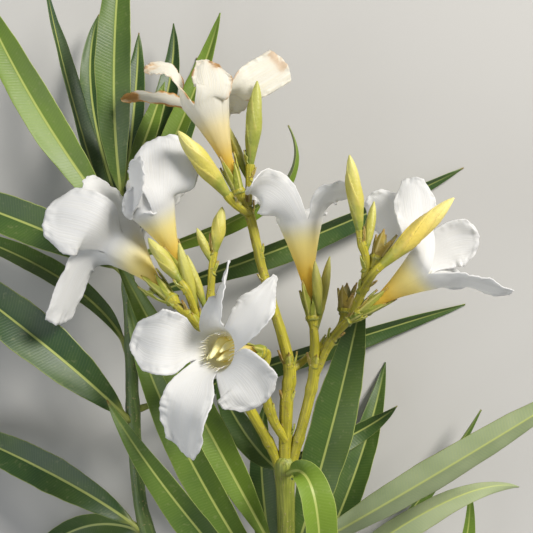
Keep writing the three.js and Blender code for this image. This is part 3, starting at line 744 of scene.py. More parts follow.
# name: foot, tip, radius
BUD_AXES = {
    "bud_top_tall": ((-4.9, 30.2, 50), (-2.8, 55.7, 53), 2.5),
    "bud_top_left": ((-11.5, 21.2, 56.5), (-26.6, 40.7, 64.5), 2.9),
    "bud_right_long": ((34.4, 0.2, 65), (56.3, 20.6, 72), 2.8),
    "bud_right_upright": ((28, 10.4, 62), (24.9, 33.5, 64), 2.4),
    "bud_left_small": ((-15.7, 4, 53), (-13.3, 17.9, 54), 2.2),
    "bud_left_withered": ((-25.6, -5, 56.5), (-35.5, 8.5, 57), 2.2),
}


def axis_of(name):
    """Foot, end and heading of a flower's tube or of a bud."""
    foot, end = (seen(point) for point in (FLOWER_AXES.get(name) or BUD_AXES[name])[:2])
    return foot, end, (end - foot).normalized()


def ends_at(name):
    """The last two points of the twig under a flower or bud, which run in along its axis."""
    is_bud = name in BUD_AXES
    back = CUP_GAP if is_bud else CUP_GAP + CUP_HEIGHT * 0.8
    foot, _, along = axis_of(name)
    into = BUD_SINK * MM if is_bud else 0
    return [foot - along * ((back + RUN_IN) * MM), foot - along * (back * MM - into)]


def fork(sideways, forward):
    """Where a stalk sets out on the end of the main stem."""
    along = main.heading(1)
    right = along.cross(UP).normalized()
    return main.at(1) + along * (forward * MM) + right * (sideways * MM)


def twig(points, radii):
    """A twig through rows and points that are already placed."""
    return Rod([point if isinstance(point, Vector) else seen(point) for point in points], radii)


CENTRE_TWIGS = [
    twig(
        [fork(0, -6), (5.9, -41.5, 37), (6.8, -30.5, 40), (2, -11.7, 43), (-1.3, -0.4, 45), (-4.8, 14.8, 47),
         (-6.2, 19.5, 48)],
        [2, 2.1, 1.9, 1.45, 1.4, 1.5, 1.3],
    ),
    twig(
        [(5.6, -52, 35.5), (2, -46, 39.5), (-0.8, -35, 44.5), *ends_at("flower_front")],
        [1.3, 1.5, 1.4, 1.2, 1.2],
    ),
    twig([(-5.2, 16, 47.2), *ends_at("flower_top")], [1.3, 1.1, 1.2]),
    twig([(-5.5, 17, 47.6), (-5.3, 23, 48.5), *ends_at("bud_top_tall")], [1.1, 1.1, 1.1, 1.2]),
    twig([(-5, 15.5, 47), *ends_at("bud_top_left")], [1.2, 1.1, 1.2]),
    twig([(7, -31.5, 39.5), (14.5, -25.5, 37.5), (22, -18, 41), (23.5, -13, 43)], [1.2, 1.1, 1, 1.2]),
]
LEFT_TWIGS = [
    twig(
        [fork(-1.2, -7), fork(-3, -0.5), (-5.2, -42.5, 42), (-12.2, -30.3, 47), (-17.8, -21.9, 50),
         (-20.9, -16.6, 52)],
        [1.6, 1.6, 1.6, 1.6, 1.5, 1.6],
    ),
    twig([(-20.4, -17.4, 51.7), *ends_at("flower_left")], [1.4, 1.2, 1.2]),
    twig([(-20.4, -17.4, 51.7), *ends_at("flower_left_upper")], [1.4, 1.2, 1.2]),
    twig([(-17.5, -22, 50), *ends_at("bud_left_small")], [1.2, 1.1, 1.1]),
    twig([(-20.4, -17.4, 51.7), *ends_at("bud_left_withered")], [1.2, 1.1, 1.1]),
]
RIGHT_TWIGS = [
    twig(
        [fork(1.2, -7), fork(3, -0.5), (14.2, -32, 41), *ends_at("flower_centre")],
        [1.6, 1.6, 1.7, 1.3, 1.2],
    ),
    twig([(14.2, -33, 40.5), (19.5, -22, 46), *ends_at("flower_right")], [1.4, 1.3, 1.3, 1.3]),
    twig([(25.4, -16, 51.4), (28.5, -8, 57), *ends_at("bud_right_long")], [1.3, 1.3, 1.2, 1.2]),
    twig([(29.3, -6.5, 58.4), (29.9, 2, 60.5), *ends_at("bud_right_upright")], [1.2, 1.1, 1.1, 1.2]),
    twig([(29.6, -6, 58.4), *ends_at("spent_right")], [1.1, 1, 1.1]),
]

stalk_skin = stem_finish("stalk skin", (0.50, 0.44, 0.035), (0.23, 0.215, 0.015), 0.8)
STALK_SIDES = 24
STALK_STEP = 0.0008
STALK_LUMPS = 0.0004
STALK_RIDGES = 0.05
STALK_NODES = [(height * MM, 0.0016, 0.00025) for height in (12.5, 30)]

sepal_green = leaf_finish(
    "sepal green", (0.17, 0.22, 0.025), (0.50, 0.48, 0.06), (0.28, 0.32, 0.07), (0.60, 0.56, 0.16), 0.16
)
sepal_dry = leaf_finish(
    "sepal dry", (0.25, 0.17, 0.035), (0.52, 0.41, 0.07), (0.38, 0.30, 0.08), (0.55, 0.44, 0.16), 0.3
)


def turned(direction, axis, degrees):
    return Matrix.Rotation(math.radians(degrees), 3, axis) @ direction


def cup_rod(name):
    """The swollen receptacle under a flower."""
    foot, _, along = axis_of(name)
    points = [foot - along * ((CUP_GAP + CUP_HEIGHT * share) * MM) for share in (1.6, 0.9, 0.3, 0)]
    return Rod(points, (1.2, 1.6, CUP_RADIUS * 0.97, CUP_RADIUS * 0.85))


def scale_leaf(root, along, out, length, width, spread, tone, material):
    """A small pointed leaf that hugs what it grows on: its hollow side faces in, its tip is spread out."""
    level = square_to(UP, along)
    seed = root.x * 5000 + root.y * 3000
    return grown(
        blade_tree, root=root, bend=root + along * length * 0.45 + out * spread * 0.85,
        tip=root + along * length + out * spread, width=width,
        roll=math.atan2(along.dot(level.cross(out)), level.dot(out)), twist=0.0, dip=0.0, fold=-0.45,
        thickness=0.0005, rib=0.0003, stalk_radius=0.0007, stalk_share=0.1, broad_foot=0.36, wave=0.0009,
        tone=tone, seed=seed, points=18, rings=20, material=material,
    )


def sepal_meshes(name):
    """Five sepals round the foot of a flower, pressed to its tube with their tips a little out. Those of a
    flower that is spent are dry, shorter and broader."""
    foot, _, along = axis_of(name)
    across = square_to(UP, along)
    spent = name.startswith("spent")
    shorter, broader, finish = (0.72, 1.25, sepal_dry) if spent else (1, 1, sepal_green)
    width = SEPAL_WIDTH * MM * broader
    made = []
    for k in range(SEPALS):
        out = Matrix.Rotation((k + 0.5) * math.tau / SEPALS, 3, along) @ across
        root = foot - along * (CUP_HEIGHT * 0.6 * MM) + out * ((CUP_RADIUS - 0.9) * MM)
        length = SEPAL_LENGTH * MM * (0.85 + 0.15 * ((k * 2) % 3)) * shorter
        tone = 0.3 + 0.2 * (k % 3)
        made.append(scale_leaf(root, along, out, length, width, SEPAL_SPREAD * MM, tone, finish))
    return made


# stalk: twig, share along it, degrees round it, length of the bract
BRACTS = {
    "centre": [
        (0, 0.075, 75, 6), (0, 0.08, -80, 5.5), (0, 0.17, 62, 5), (0, 0.175, -65, 4.5), (0, 0.33, 85, 5.5),
        (0, 0.335, -75, 6), (0, 0.34, 10, 5), (0, 0.6, -80, 3.5), (0, 0.7, 80, 4), (0, 0.84, 90, 4.5),
        (0, 0.85, -85, 4), (0, 0.96, 45, 5), (0, 0.965, -60, 4.5), (0, 0.97, 170, 5), (1, 0.3, 70, 3.5),
        (1, 0.7, -85, 3.5), (2, 0.3, -80, 5), (3, 0.55, 80, 4), (3, 0.9, -80, 5), (4, 0.4, 75, 4),
        (5, 0.4, -70, 4), (5, 0.9, 60, 6), (5, 0.93, -60, 6),
    ],
    "left": [
        (0, 0.55, -75, 4), (0, 0.75, 70, 5), (0, 0.92, 80, 6), (0, 0.94, -85, 6.5), (0, 0.96, 5, 5.5),
        (1, 0.3, 75, 5), (1, 0.7, -80, 14), (2, 0.35, -80, 4.5), (3, 0.4, 80, 4), (3, 0.85, -75, 6),
        (4, 0.5, -70, 5),
    ],
    "right": [
        (0, 0.5, 80, 5), (0, 0.52, -85, 5.5), (0, 0.54, 10, 4.5), (0, 0.85, 75, 5), (1, 0.3, -75, 5),
        (1, 0.36, 70, 4.5), (1, 0.66, 80, 6), (1, 0.7, -80, 6.5), (1, 0.72, 15, 5), (2, 0.12, 85, 5.5),
        (2, 0.35, -70, 5), (2, 0.42, 80, 5), (3, 0.2, -75, 4.5), (3, 0.6, 75, 5),
    ],
}


def bract_meshes(twigs, rows, material):
    made = []
    for number, share, degrees, length in rows:
        rod = twigs[number]
        along = rod.heading(share)
        out = turned(square_to(UP, along), along, degrees)
        root = rod.at(share) + out * rod.radius(share) * 0.6
        tone = (degrees * 7 + length * 31) % 10 / 10
        size = length * MM, BRACT_WIDTH * MM, length * 0.3 * MM
        made.append(scale_leaf(root, along, out, *size, tone, material))
    return made


STALKS = {
    "centre": (CENTRE_TWIGS, ("flower_front", "flower_top", "spent")),
    "left": (LEFT_TWIGS, ("flower_left", "flower_left_upper")),
    "right": (RIGHT_TWIGS, ("flower_centre", "flower_right", "spent_right")),
}
for stalk, (twigs, flowers) in STALKS.items():
    rods = [*twigs, *(cup_rod(name) for name in flowers)]
    mesh = grown(
        round_stem, curve_of(rods, STALK_STEP, STALK_NODES), sides=STALK_SIDES, lumps=STALK_LUMPS,
        ridges=STALK_RIDGES, material=stalk_skin,
    )
    piece(f"flower_stalk_{stalk}_twigs", mesh, [f"flower_stalk_{stalk}"])
    for name in flowers:
        piece(f"sepals_{name}", merged(sepal_meshes(name)))
    rows = BRACTS[stalk]
    for name, chosen, finish in (("green", rows[::2], sepal_green), ("dry", rows[1::2], sepal_dry)):
        piece(f"bracts_{stalk}_{name}", merged(bract_meshes(twigs, chosen, finish)))

# Flowers
# A narrow tube opens into a funnel with five broad, lopsided, ruffled petals. The petal is thin, white and
# lets light through, and it turns cream, then golden down the tube. The top flower is withering.

TUBE_PROFILE = [(0, 0.9), (0.08, 1.3), (0.35, 1.7), (0.55, 2.9), (0.78, 4.7), (1, 6.7)]  # share, radius
ROUNDED_FOOT = 0.1  # the share of the tube in which its wall bends in towards its foot
FUNNEL_LEAN = 32  # degrees from the axis at the rim
PETALS = 5
PETAL_THICKNESS = 0.0003
PETAL_DOME = 0.14  # fall of the margins below the midline, as a share of half the width
PETAL_ROUNDING = 0.3  # how far the margins of the end stand back
PETAL_COLUMNS = 32
PETAL_ROWS = 46
TUBE_ROWS = 26
FLUTES = 0.02  # depth of the funnel's folds, as a share of its radius
RUFFLE = 0.05  # height of the broad waves, as a share of a petal's width
CRIMP = 0.0009  # height of the fine crimps along the edge
NOTCH = 0.0004  # depth of the small nicks in the edge
PETAL_LENGTH = 0.025  # to which the crimps are scaled

# name: angle of the first petal round the axis, power of the yellow down the tube (below 1 the white
# reaches further down), then mid, tip, width, roll, skew and dryness of each petal, and the share of its
# width that is left at its tip
PETAL_ROWS_OF = {
    "flower_front": (82, 0.45, [
        ((-29.6, -23, 75), (-39.8, -20, 71), 17.5, 0, 0.2, 0, 0.5),
        ((-24, -42, 76), (-25.2, -55.4, 71), 15.5, 0, 0.25, 0, 0.6),
        ((-7.2, -34, 76), (-1.9, -41.8, 74), 18, 0, -0.1, 0, 0.6),
        ((-3.6, -13.3, 76), (2.8, -2.8, 72), 12.3, -12, 0, 0, 0.1),
        ((-14, -11, 76), (-11, 1.8, 75), 9, -50, 0, 0, 0.25),
    ]),
    "flower_left": (-8, 0.5, [
        ((-53.4, 12.4, 58), (-66.6, 15, 56), 19.5, 6, 0, 0, 0.6),
        ((-46.3, 19, 44), (-52.3, 27.6, 42), 17, 0, 0, 0, 0.5),
        ((-36.5, 10, 37), (-36.5, 14, 34), 13, 0, 0, 0, 0.5),
        ((-49, 9, 37), (-57, 12, 35), 14, 0, 0, 0, 0.5),
        ((-55, 0, 46), (-62.4, -17.4, 44), 11, 12, 0.1, 0, 0.8),
    ]),
    "flower_left_upper": (-38, 0.75, [
        ((-38.2, 18.3, 60), (-43.3, 19.5, 61), 11, 36, 0, 0, 0.6),
        ((-30, 28.5, 59), (-30.8, 39.3, 56.5), 18.5, -30, 0, 0, 0.7),
        ((-27, 24, 47), (-22.6, 30, 42), 13, -45, 0, 0, 0.5),
        ((-35, 24, 42), (-36, 30, 37), 14, 0, 0, 0, 0.5),
        ((-40.2, 24.5, 62), (-38.2, 33, 65), 11, 45, 0, 0, 0.5),
    ]),
    "flower_top": (5, 1, [
        ((-16, 54.5, 58.5), (-18, 62, 57), 11, 0, -0.5, 0.3, 0.5),
        ((-3.8, 55.6, 51), (5.8, 61.2, 48), 11.5, -80, 0.1, 0.12, 0.95),
        ((-9.2, 49.5, 44), (-7.5, 46.5, 41), 13, -40, 0, 0.1, 0.5),
        ((-30.4, 50, 44), (-43.6, 50.5, 42), 6, -15, 0, 1, 0.7),
        ((-28, 57.4, 54), (-36.5, 59.4, 52), 9, -46, 0, 0.5, 0.5),
    ]),
    "flower_centre": (-18, 1, [
        ((1, 21.6, 57), (-6.4, 21.9, 57), 14.5, 20, 0, 0, 0.75),
        ((18.6, 20.6, 55), (27.8, 22.6, 55), 9.5, -28, 0, 0, 0.7),
        ((13.8, 14.8, 39), (14.3, 14.4, 31), 9, 0, 0, 0, 0.5),
        ((10.2, 16.5, 38), (10.5, 16.5, 31), 12, 0, 0, 0, 0.5),
        ((3, 19.5, 42), (-3.5, 22, 39), 12, -50, 0, 0, 0.5),
    ]),
    "flower_right": (45, 0.9, [
        ((59.8, -5, 62), (73.4, -8.5, 60), 9.5, 8, 0, 0, 0.5),
        ((54.5, -2.5, 50), (61, -5, 44), 8, 0, 0, 0, 0.6),
        ((55.6, 6.5, 49), (63.8, 7.4, 49), 14, 0, 0, 0, 0.6),
        ((38.5, 13.5, 50), (31, 21.5, 50), 13, 75, 0, 0, 0.5),
        ((45, 14.6, 58), (43.8, 26.8, 56), 12, 36, 0, 0, 0.5),
    ]),
}


def smooth(value, low, high):
    share = min(1.0, max(0.0, (value - low) / (high - low)))
    return share * share * (3 - 2 * share)


def tube_radius(share):
    """Radius of the tube at a share of its length, by a smooth line through the profile."""
    for (low, first), (high, second) in zip(TUBE_PROFILE, TUBE_PROFILE[1:]):
        if share <= high and low < ROUNDED_FOOT:
            return (first + (second - first) * smooth(share, low, high) ** 0.5) * MM
        if share <= high:
            return (first + (second - first) * (share - low) / (high - low)) * MM


def petal_midline(root, leave, mid, tip, u):
    """Point and heading on a petal's midline, which leaves the rim in the funnel's own direction."""
    through = (tip - root) * 0.5
    onward = mid - root
    set_out = leave * (onward.length * 0.35 + 0.55 * max(0, onward.dot(leave)))
    finish = (tip - mid) * 1.5 - through * 0.5
    early = u < 0.5
    start, end = (root, mid) if early else (mid, tip)
    m0, m1 = (set_out, through) if early else (through, finish)
    s = 2 * u if early else 2 * u - 1
    point = start * (2 * s**3 - 3 * s**2 + 1) + m0 * (s**3 - 2 * s**2 + s)
    point += end * (3 * s**2 - 2 * s**3) + m1 * (s**3 - s**2)
    heading = start * (6 * s**2 - 6 * s) + m0 * (3 * s**2 - 4 * s + 1)
    heading += end * (6 * s - 6 * s**2) + m1 * (3 * s**2 - 2 * s)
    return point, heading.normalized()


def petal_point(petal, mouth, axis, spoke, middle, u, v, seed):
    mid, tip, width, roll, skew, _, left_over = petal
    rim = TUBE_PROFILE[-1][1] * MM
    out = spoke(middle)
    across = axis.cross(out)
    root = mouth + out * rim
    leave = turned(axis, across, FUNNEL_LEAN)
    point, heading = petal_midline(root, leave, seen(mid), seen(tip), u)
    side = turned(square_to(across, heading), heading, roll * smooth(u, 0.03, 0.5))
    face = side.cross(heading)
    taper = 1 - (1 - left_over) * smooth(u, 0.4 + 0.68 * left_over, 1.04)
    half = width * MM / 2 * (0.76 + 0.24 * smooth(u, 0, 0.62)) * taper
    end = smooth(u, 0.45, 1)
    own = point + side * (half * v) - face * (PETAL_DOME * half * v * v)
    own += heading * (half * (skew * v - PETAL_ROUNDING * v * v) * end)
    place_in = Vector((v * half, u * PETAL_LENGTH, seed * 0.01))
    broad = noise.noise(Vector((v * 1.7, u * 2.6, seed + 4.2))) * (0.5 + abs(v))
    own += face * (broad * RUFFLE * width * MM * smooth(u, 0.2, 0.9))
    margin = max(abs(v), smooth(u, 0.72, 1))
    fine = noise.noise(place_in * 330) + 0.5 * noise.noise(place_in * 800)
    own += face * (fine * CRIMP * smooth(margin, 0.62, 1) * smooth(u, 0.15, 0.5))
    notch = noise.noise(place_in * 900 + Vector((3, 5, 7))) * NOTCH
    own += side * (math.copysign(notch, v) * smooth(abs(v), 0.85, 1)) + heading * (notch * smooth(u, 0.93, 1))
    arc = mouth + spoke(middle + v * 180 / PETALS) * rim
    return (arc + point - root).lerp(own, smooth(u, 0, 0.36))


def corolla(name):
    """Tube, funnel and petals as one sheet. Stores petal: the share across, the share along the tube and
    then, past 1, along the petal, and how dry the petal is."""
    foot, mouth, axis = axis_of(name)
    start, yellow, petals = PETAL_ROWS_OF[name]
    length = (mouth - foot).length
    first = square_to(Vector((0, 1, 0)) if axis.z > 0.8 else UP, axis)
    around = PETALS * PETAL_COLUMNS
    begin = start - 180 / PETALS

    def spoke(degrees):
        return turned(first, axis, degrees)

    points, marks, faces = [], [], []
    for row in range(TUBE_ROWS + 1):
        share = row / TUBE_ROWS
        for k in range(around):
            fold = 1 + FLUTES * math.cos(k * math.tau / PETAL_COLUMNS) * smooth(share, 0.5, 1)
            radius = tube_radius(share) * (fold if row < TUBE_ROWS else 1)
            points.append(foot + axis * (share * length) + spoke(begin + k * 360 / around) * radius)
            marks.append((2 * (k % PETAL_COLUMNS) / PETAL_COLUMNS - 1, share**yellow, 0))
            if row:
                a, b = row * around + k, row * around + (k + 1) % around
                faces.append((a - around, b - around, b, a))
    rim = TUBE_ROWS * around
    for number, petal in enumerate(petals):
        seed = number * 3.7 + len(name) * 1.3
        middle = start + number * 360 / PETALS
        *_, dryness, _ = petal
        before = [rim + (number * PETAL_COLUMNS + k) % around for k in range(PETAL_COLUMNS + 1)]
        for row in range(1, PETAL_ROWS + 1):
            u = row / PETAL_ROWS
            after = []
            for k in range(PETAL_COLUMNS + 1):
                v = 2 * k / PETAL_COLUMNS - 1
                after.append(len(points))
                points.append(petal_point(petal, mouth, axis, spoke, middle, u, v, seed))
                marks.append((v, 1 + u, dryness))
            for k in range(PETAL_COLUMNS):
                faces.append((before[k], before[k + 1], after[k + 1], after[k]))
            before = after
    mesh = bpy.data.meshes.new(name)
    mesh.from_pydata(points, [], faces)
    attribute = mesh.attributes.new("petal", "FLOAT_VECTOR", "POINT")
    attribute.data.foreach_set("vector", [x for mark in marks for x in mark])
    mesh.polygons.foreach_set("use_smooth", [True] * len(faces))
    return mesh


def with_thickness(mesh, material, thickness):
    """The sheet as a thin wall, half of it on each side."""
    holder = linked(mesh.name, mesh)
    mesh.materials.append(material)
    wall = holder.modifiers.new("wall", "SOLIDIFY")
    wall.thickness = thickness
    wall.offset = 0
    graph = bpy.context.evaluated_depsgraph_get()
    made = bpy.data.meshes.new_from_object(holder.evaluated_get(graph))
    bpy.data.objects.remove(holder)
    return made


TUBE_GREEN = (0.62, 0.56, 0.05)
TUBE_GOLD = (0.98, 0.75, 0.12)
PETAL_VEIN = (0.88, 0.80, 0.56)
DRY_TAN = (0.78, 0.50, 0.20)
DRY_BROWN = (0.52, 0.28, 0.08)
PETAL_GLOW = (1.0, 0.97, 0.72)


def petal_finish(name, white, fade):
    """Petal colour by the share along it, with faint veins and dry brown edges where a petal is dry."""
    material, tree, shader, output = new_material(name)
    v, h, dry = read_attribute(tree, "petal").parts()
    spot = object_spot(tree)
    blotches, _ = mottled(tree, spot, 0.006)
    base = colour(tree, TUBE_GREEN, TUBE_GOLD, h.smooth(0.02, 0.14))
    opening = h + fade * 0.1
    cream = (0.98, 0.90, 0.45 + fade * 0.17)
    base = colour(tree, base, cream, opening.smooth(0.36, 0.74))
    base = colour(tree, base, white, opening.smooth(0.7, 1.02))
    lines = grain_noise(tree, joined(v * 9.0, h * 0.9, 0.0), 2.4, 2.0).smooth(0.42, 0.62)
    base = colour(tree, base, PETAL_VEIN, lines * (0.06 + fade * 0.2) * h.smooth(0.6, 1.2))
    edge = v.size().maths("MAXIMUM", (h - 1.0) * 1.02) + (blotches - 0.5) * 0.3
    outer = h.smooth(1.0, 1.2)
    base = colour(tree, base, DRY_TAN, (edge + dry * 0.16).smooth(0.92, 1.1) * dry * outer)
    brown = (edge + dry * 0.14).smooth(1.02, 1.1) * outer * (dry * 4.0).maths("MINIMUM", 1.0)
    base = colour(tree, base, DRY_BROWN, brown * 0.85)
    feed(shader.inputs["Base Color"], base)
    feed(shader.inputs["Roughness"], lines * 0.08 + 0.5)
    shader.inputs["Specular IOR Level"].default_value = 0.3
    relief = lines * 0.4 + grain_noise(tree, spot, 700.0, 2.0) * 0.5
    feed(shader.inputs["Normal"], bumped(tree, relief, 0.00008 + fade * 0.00005))
    tint = colour(tree, base, PETAL_GLOW, h.smooth(0.55, 0.95) * -0.5 + 0.5)
    lit_through(tree, shader, output, tint, h.smooth(0.6, 1.1) * -0.24 + 0.68)
    return material


petal_white = petal_finish("petal white", (0.815, 0.818, 0.82), 0.0)
petal_dry = petal_finish("petal dry", (0.87, 0.855, 0.79), 1.0)
for name in PETAL_ROWS_OF:
    faded = name == "flower_top"
    mesh = with_thickness(corolla(name), petal_dry if faded else petal_white, PETAL_THICKNESS)
    piece(f"{name}_petals", mesh, [name])

# Fringes in the throats
# At the mouth of the tube each petal bears a small white scale, cut into fine pointed threads. Inside it the
# five anthers lean together in a pale yellow cone with feathery tips.

THREADS = 35
TUFT = THREADS // PETALS
THREAD_LENGTH = 5.6
SHORT_THREADS = {"flower_front": 3.2}
FRINGE_SEAT = 0.88  # the share up the tube at which the threads stand
ANTHERS = 5
ANTHER_SEAT = 0.74


def fringe_rule():
    """Tapered threads that stand in a ring, leaning out, in one tuft for each petal. Stores thread, the
    share along a thread."""
    tree, given, output = growing_rule(
        "throat fringe", centre="point", turn="point", radius="number", length="number", lean="number",
        count="count", thickness="number", seed="count", material="material",
    )
    radius, length, thickness = (given[label] for label in ("Radius", "Length", "Thickness"))
    circle = result(
        tree, "GeometryNodeCurvePrimitiveCircle", {"Resolution": given["Count"], "Radius": radius}
    )
    points = result(tree, "GeometryNodeCurveToPoints", {"Curve": circle}, mode="EVALUATED")
    inputs = {
        "Vertices": 6, "Side Segments": 6, "Radius Bottom": thickness, "Radius Top": thickness * 0.2,
        "Depth": length,
    }
    cone = result(tree, "GeometryNodeMeshCone", inputs, "Mesh")
    spot = result(tree, "GeometryNodeInputPosition")
    share = spot.parts()[2] / length
    bend = joined(share * share * length * 0.25, 0.0, 0.0)
    curl = result(tree, "GeometryNodeSetPosition", {"Geometry": cone, "Offset": bend})
    thread = stored(tree, curl, "thread", joined(share, 0.0, 0.0))
    outward = vectors("ADD", vectors("SCALE", vectors("NORMALIZE", spot), given["Lean"]), (0.0, 0.0, 1.0))
    random = added(tree, "FunctionNodeRandomValue", {"Seed": given["Seed"]}, data_type="FLOAT_VECTOR")
    random.inputs["Min"].default_value = (-0.25, -0.25, 0.0)
    random.inputs["Max"].default_value = (0.25, 0.25, 0.3)
    heading = vectors("ADD", outward, Amount(random.outputs[0]))
    aim = result(tree, "FunctionNodeAlignRotationToVector", {"Vector": heading}, axis="Z")
    sizes = added(tree, "FunctionNodeRandomValue", {"Seed": given["Seed"] + 3.0})
    sizes.inputs[2].default_value = 0.65
    sizes.inputs[3].default_value = 1.15
    order = result(tree, "GeometryNodeInputIndex")
    in_tuft = ((order + 0.5) / TUFT).maths("FRACT") * 2.0 - 1.0
    size = Amount(sizes.outputs[1]) * (in_tuft * in_tuft * -0.55 + 1.0)
    inputs = {"Points": points, "Instance": thread, "Rotation": aim, "Scale": joined(size, size, size)}
    copies = result(tree, "GeometryNodeInstanceOnPoints", inputs)
    inputs = {"Geometry": copies, "Translation": given["Centre"], "Rotation": given["Turn"]}
    return finished_tree(tree, result(tree, "GeometryNodeTransform", inputs), given, output)


def thread_finish(name, foot, tip):
    """A matt thread that turns from the colour of its foot to that of its tip."""
    material, tree, shader, _ = new_material(name)
    share = read_attribute(tree, "thread").parts()[0]
    spot = object_spot(tree)
    feed(shader.inputs["Base Color"], colour(tree, foot, tip, share + grain_noise(tree, spot, 900.0) * 0.3))
    feed(shader.inputs["Roughness"], grain_noise(tree, spot, 1500.0) * 0.2 + 0.7)
    shader.inputs["Specular IOR Level"].default_value = 0.12
    soften(shader, 0.3, (0.002, 0.0018, 0.0008))
    return material


fringe_tree = fringe_rule()
thread_white = thread_finish("thread white", (0.93, 0.87, 0.60), (0.95, 0.94, 0.90))
anther_cream = thread_finish("anther cream", (0.93, 0.76, 0.20), (0.96, 0.88, 0.46))
for order, name in enumerate(PETAL_ROWS_OF):
    foot, mouth, axis = axis_of(name)
    turn = axis.to_track_quat("Z", "Y").to_euler()
    length = (mouth - foot).length
    threads = grown(
        fringe_tree, centre=foot + axis * (length * FRINGE_SEAT), turn=turn, radius=4.9 * MM,
        length=SHORT_THREADS.get(name, THREAD_LENGTH) * MM, lean=0.15, count=THREADS,
        thickness=0.26 * MM, seed=order + 1, material=thread_white,
    )
    cone = grown(
        fringe_tree, centre=foot + axis * (length * ANTHER_SEAT), turn=turn, radius=2.2 * MM, length=7 * MM,
        lean=-0.2, count=ANTHERS, thickness=2 * MM, seed=order + 11, material=anther_cream,
    )
    piece(f"{name}_fringe", threads)
    piece(f"{name}_anthers", cone)

# Buds
# Furled petals wound in a spiral, green at the foot and yellow to cream at the point. The large ones are
# nearly open, the small ones still tight and green.


def bud_rule():
    """A spindle with spiral overlaps. Stores furl: the shares across an overlap and along the bud, and the
    bud's tone."""
    tree, given, output = growing_rule(
        "furled bud", foot="point", tip="point", radius="number", turns="number", tone="number",
        sides="count", rings="count", material="material",
    )
    cylinder, x, y, u = unit_cylinder(tree, given["Sides"], given["Rings"])
    swell = ((u ** 1.15 * 0.9 + 0.1) * math.pi).maths("SINE").maths("MAXIMUM", 0.0) ** 0.68
    angle = y.maths("ARCTAN2", x)
    furl = (angle * (PETALS / math.tau) + u * given["Turns"]).maths("FRACT")
    step = furl * furl * u.smooth(0.12, 0.4) * 0.16 + 0.88
    own = (given["Radius"] * swell * step).maths("MAXIMUM", 0.0002)
    axis = vectors("SUBTRACT", given["Tip"], given["Foot"])
    aim = result(tree, "FunctionNodeAlignRotationToVector", {"Vector": axis}, axis="Z")
    section = {"Vector": joined(x * own, y * own, 0.0), "Rotation": aim}
    section = result(tree, "FunctionNodeRotateVector", section)
    centre = vectors("ADD", given["Foot"], vectors("SCALE", axis, u))
    marked = stored(tree, cylinder, "furl", joined(furl, u, given["Tone"]))
    inputs = {"Geometry": marked, "Position": vectors("ADD", centre, section)}
    return finished_tree(tree, result(tree, "GeometryNodeSetPosition", inputs), given, output)


CREASE_SHADE = (0.20, 0.18, 0.03)
BUD_BLUSH = (0.42, 0.24, 0.10)
BUD_SPECK = (0.35, 0.33, 0.1)


def bud_finish():
    """Green at the foot, yellower along the bud, by its tone, with painted shade in the creases along the
    overlaps.
    """
    material, tree, shader, _ = new_material("bud")
    furl, u, tone = read_attribute(tree, "furl").parts()
    spot = object_spot(tree)
    blotches, specks = mottled(tree, spot, 0.005)
    foot = colour(tree, (0.14, 0.19, 0.025), (0.34, 0.35, 0.04), tone)
    middle = colour(tree, (0.26, 0.30, 0.045), (0.80, 0.62, 0.12), tone)
    point = colour(tree, (0.36, 0.38, 0.08), (0.86, 0.76, 0.28), tone)
    skin = colour(tree, foot, middle, (u + (blotches - 0.5) * 0.2).smooth(0.05, 0.45))
    skin = colour(tree, skin, point, u.smooth(0.5, 0.95))
    # painted shade: darker in the recess under each overlapping edge
    overlap_crease = furl.smooth(0.0, 0.12).less_from(1.0) * u.smooth(0.15, 0.35)
    skin = colour(tree, skin, CREASE_SHADE, overlap_crease * 0.45)
    skin = colour(tree, skin, BUD_BLUSH, (blotches * furl.smooth(0.6, 1.0)) * 0.3)
    skin = colour(tree, skin, BUD_SPECK, specks * 0.3)
    feed(shader.inputs["Base Color"], skin)
    feed(shader.inputs["Roughness"], blotches * 0.1 + 0.44)
    feed(shader.inputs["Normal"], bumped(tree, grain_noise(tree, spot, 1100.0, 2.0) + overlap_crease * -0.6, 0.00015))
    soften(shader, 0.12, (0.002, 0.002, 0.0008))
    return material


bud_tree = bud_rule()
bud_skin = bud_finish()
BUD_TONES = {
    "bud_top_tall": 0.1, "bud_top_left": 0.45, "bud_right_long": 0.95, "bud_right_upright": 0.4,
    "bud_left_small": 0.4, "bud_left_withered": 0.3,
}
for name, (foot, tip, radius) in BUD_AXES.items():
    mesh = grown(
        bud_tree, foot=seen(foot), tip=seen(tip), radius=radius * MM, turns=2.2, tone=BUD_TONES[name],
        sides=50, rings=40, material=bud_skin,
    )
    piece(f"{name}_petals", mesh, [name])
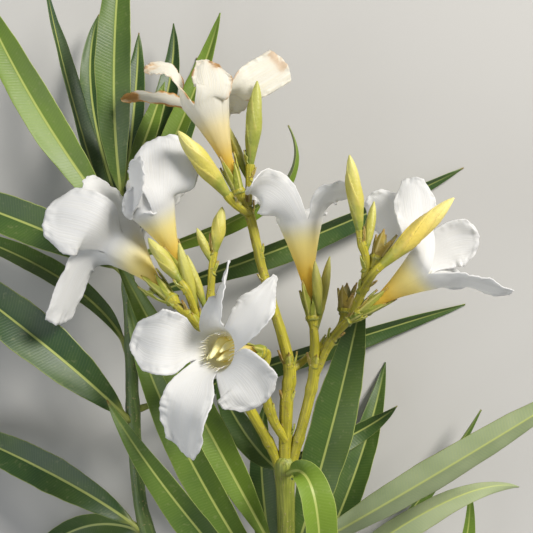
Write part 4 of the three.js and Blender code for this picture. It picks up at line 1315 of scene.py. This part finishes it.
# foot, tip, radius
SMALL_BUDS = [
    ((-5.5, 26, 48.5), (-12.4, 43.5, 46), 1.5), ((29.5, 3.5, 60), (32.3, 19.5, 58), 1.6),
    ((14.6, -20, 42.8), (19, 3, 45), 1.7), ((15.8, -14.5, 47), (14.6, 1.6, 51), 1.6),
    ((-21.3, -14, 53), (-26.3, 7.1, 58), 1.9), ((-18.2, -13, 52.5), (-23.9, 3.5, 55), 1.4),
    ((-16.6, 1.5, 53), (-20.9, 11.5, 54), 1.4), ((27.6, -8, 58), (33, -1, 61), 1.3),
]
small = [
    grown(
        bud_tree, foot=seen(foot), tip=seen(tip), radius=radius * MM, turns=1.5, tone=0.25, sides=30,
        rings=24, material=bud_skin,
    )
    for foot, tip, radius in SMALL_BUDS
]
piece("small_buds", merged(small))

# Table, light and camera
# A plain pale table under the branch, one soft lamp up and to the right, a wide weak one to the left, and
# an even pale sky. The camera looks straight down.

TABLE_SIDE = 4.0
FRAME_WIDTH = 160 * MM  # across the photograph at the level of the stalks
SENSOR = 36.0
TABLE_SHADES = (0.41, 0.405, 0.39), (0.44, 0.435, 0.42)

table_mesh = bpy.data.meshes.new("table")
half_side = TABLE_SIDE / 2
corners = [(x * half_side, y * half_side, 0) for x, y in ((-1, -1), (1, -1), (1, 1), (-1, 1))]
table_mesh.from_pydata(corners, [], [(0, 1, 2, 3)])
table = linked("table", table_mesh)
paper, tree, shader, _ = new_material("pale table")
cloudy = grain_noise(tree, object_spot(tree), 4.0)
feed(shader.inputs["Base Color"], colour(tree, *TABLE_SHADES, cloudy))
shader.inputs["Roughness"].default_value = 0.85
table_mesh.materials.append(paper)


def lamp(name, spot, aim, size, watts, tint):
    data = bpy.data.lights.new(name, "AREA")
    data.size = size
    data.energy = watts
    data.color = tint
    made = linked(name, data)
    made.location = spot
    made.rotation_euler = (Vector(aim) - Vector(spot)).to_track_quat("-Z", "Y").to_euler()


lamp("key", (0.75, 0.65, 0.85), (0.0, 0.02, 0.03), 0.4, 25.5, (1.0, 0.96, 0.9))
lamp("fill", (-0.9, -0.3, 0.8), (0.0, 0.0, 0.03), 0.9, 6.5, (0.96, 0.98, 1.0))
sky = bpy.data.worlds.new("sky")
sky.use_nodes = True
background = sky.node_tree.nodes["Background"]
background.inputs["Color"].default_value = (0.90, 0.94, 1.0, 1)
background.inputs["Strength"].default_value = 0.28
bpy.context.scene.world = sky

camera_data = bpy.data.cameras.new("camera")
camera_data.sensor_width = SENSOR
camera_data.lens = SENSOR * (LENS_HEIGHT - STALK_HEIGHT) * MM / FRAME_WIDTH
camera_data.clip_start = 0.01
camera = linked("camera", camera_data)
camera.location = place((0, 0, LENS_HEIGHT))
bpy.context.scene.camera = camera
bpy.context.scene.view_settings.view_transform = "Standard"
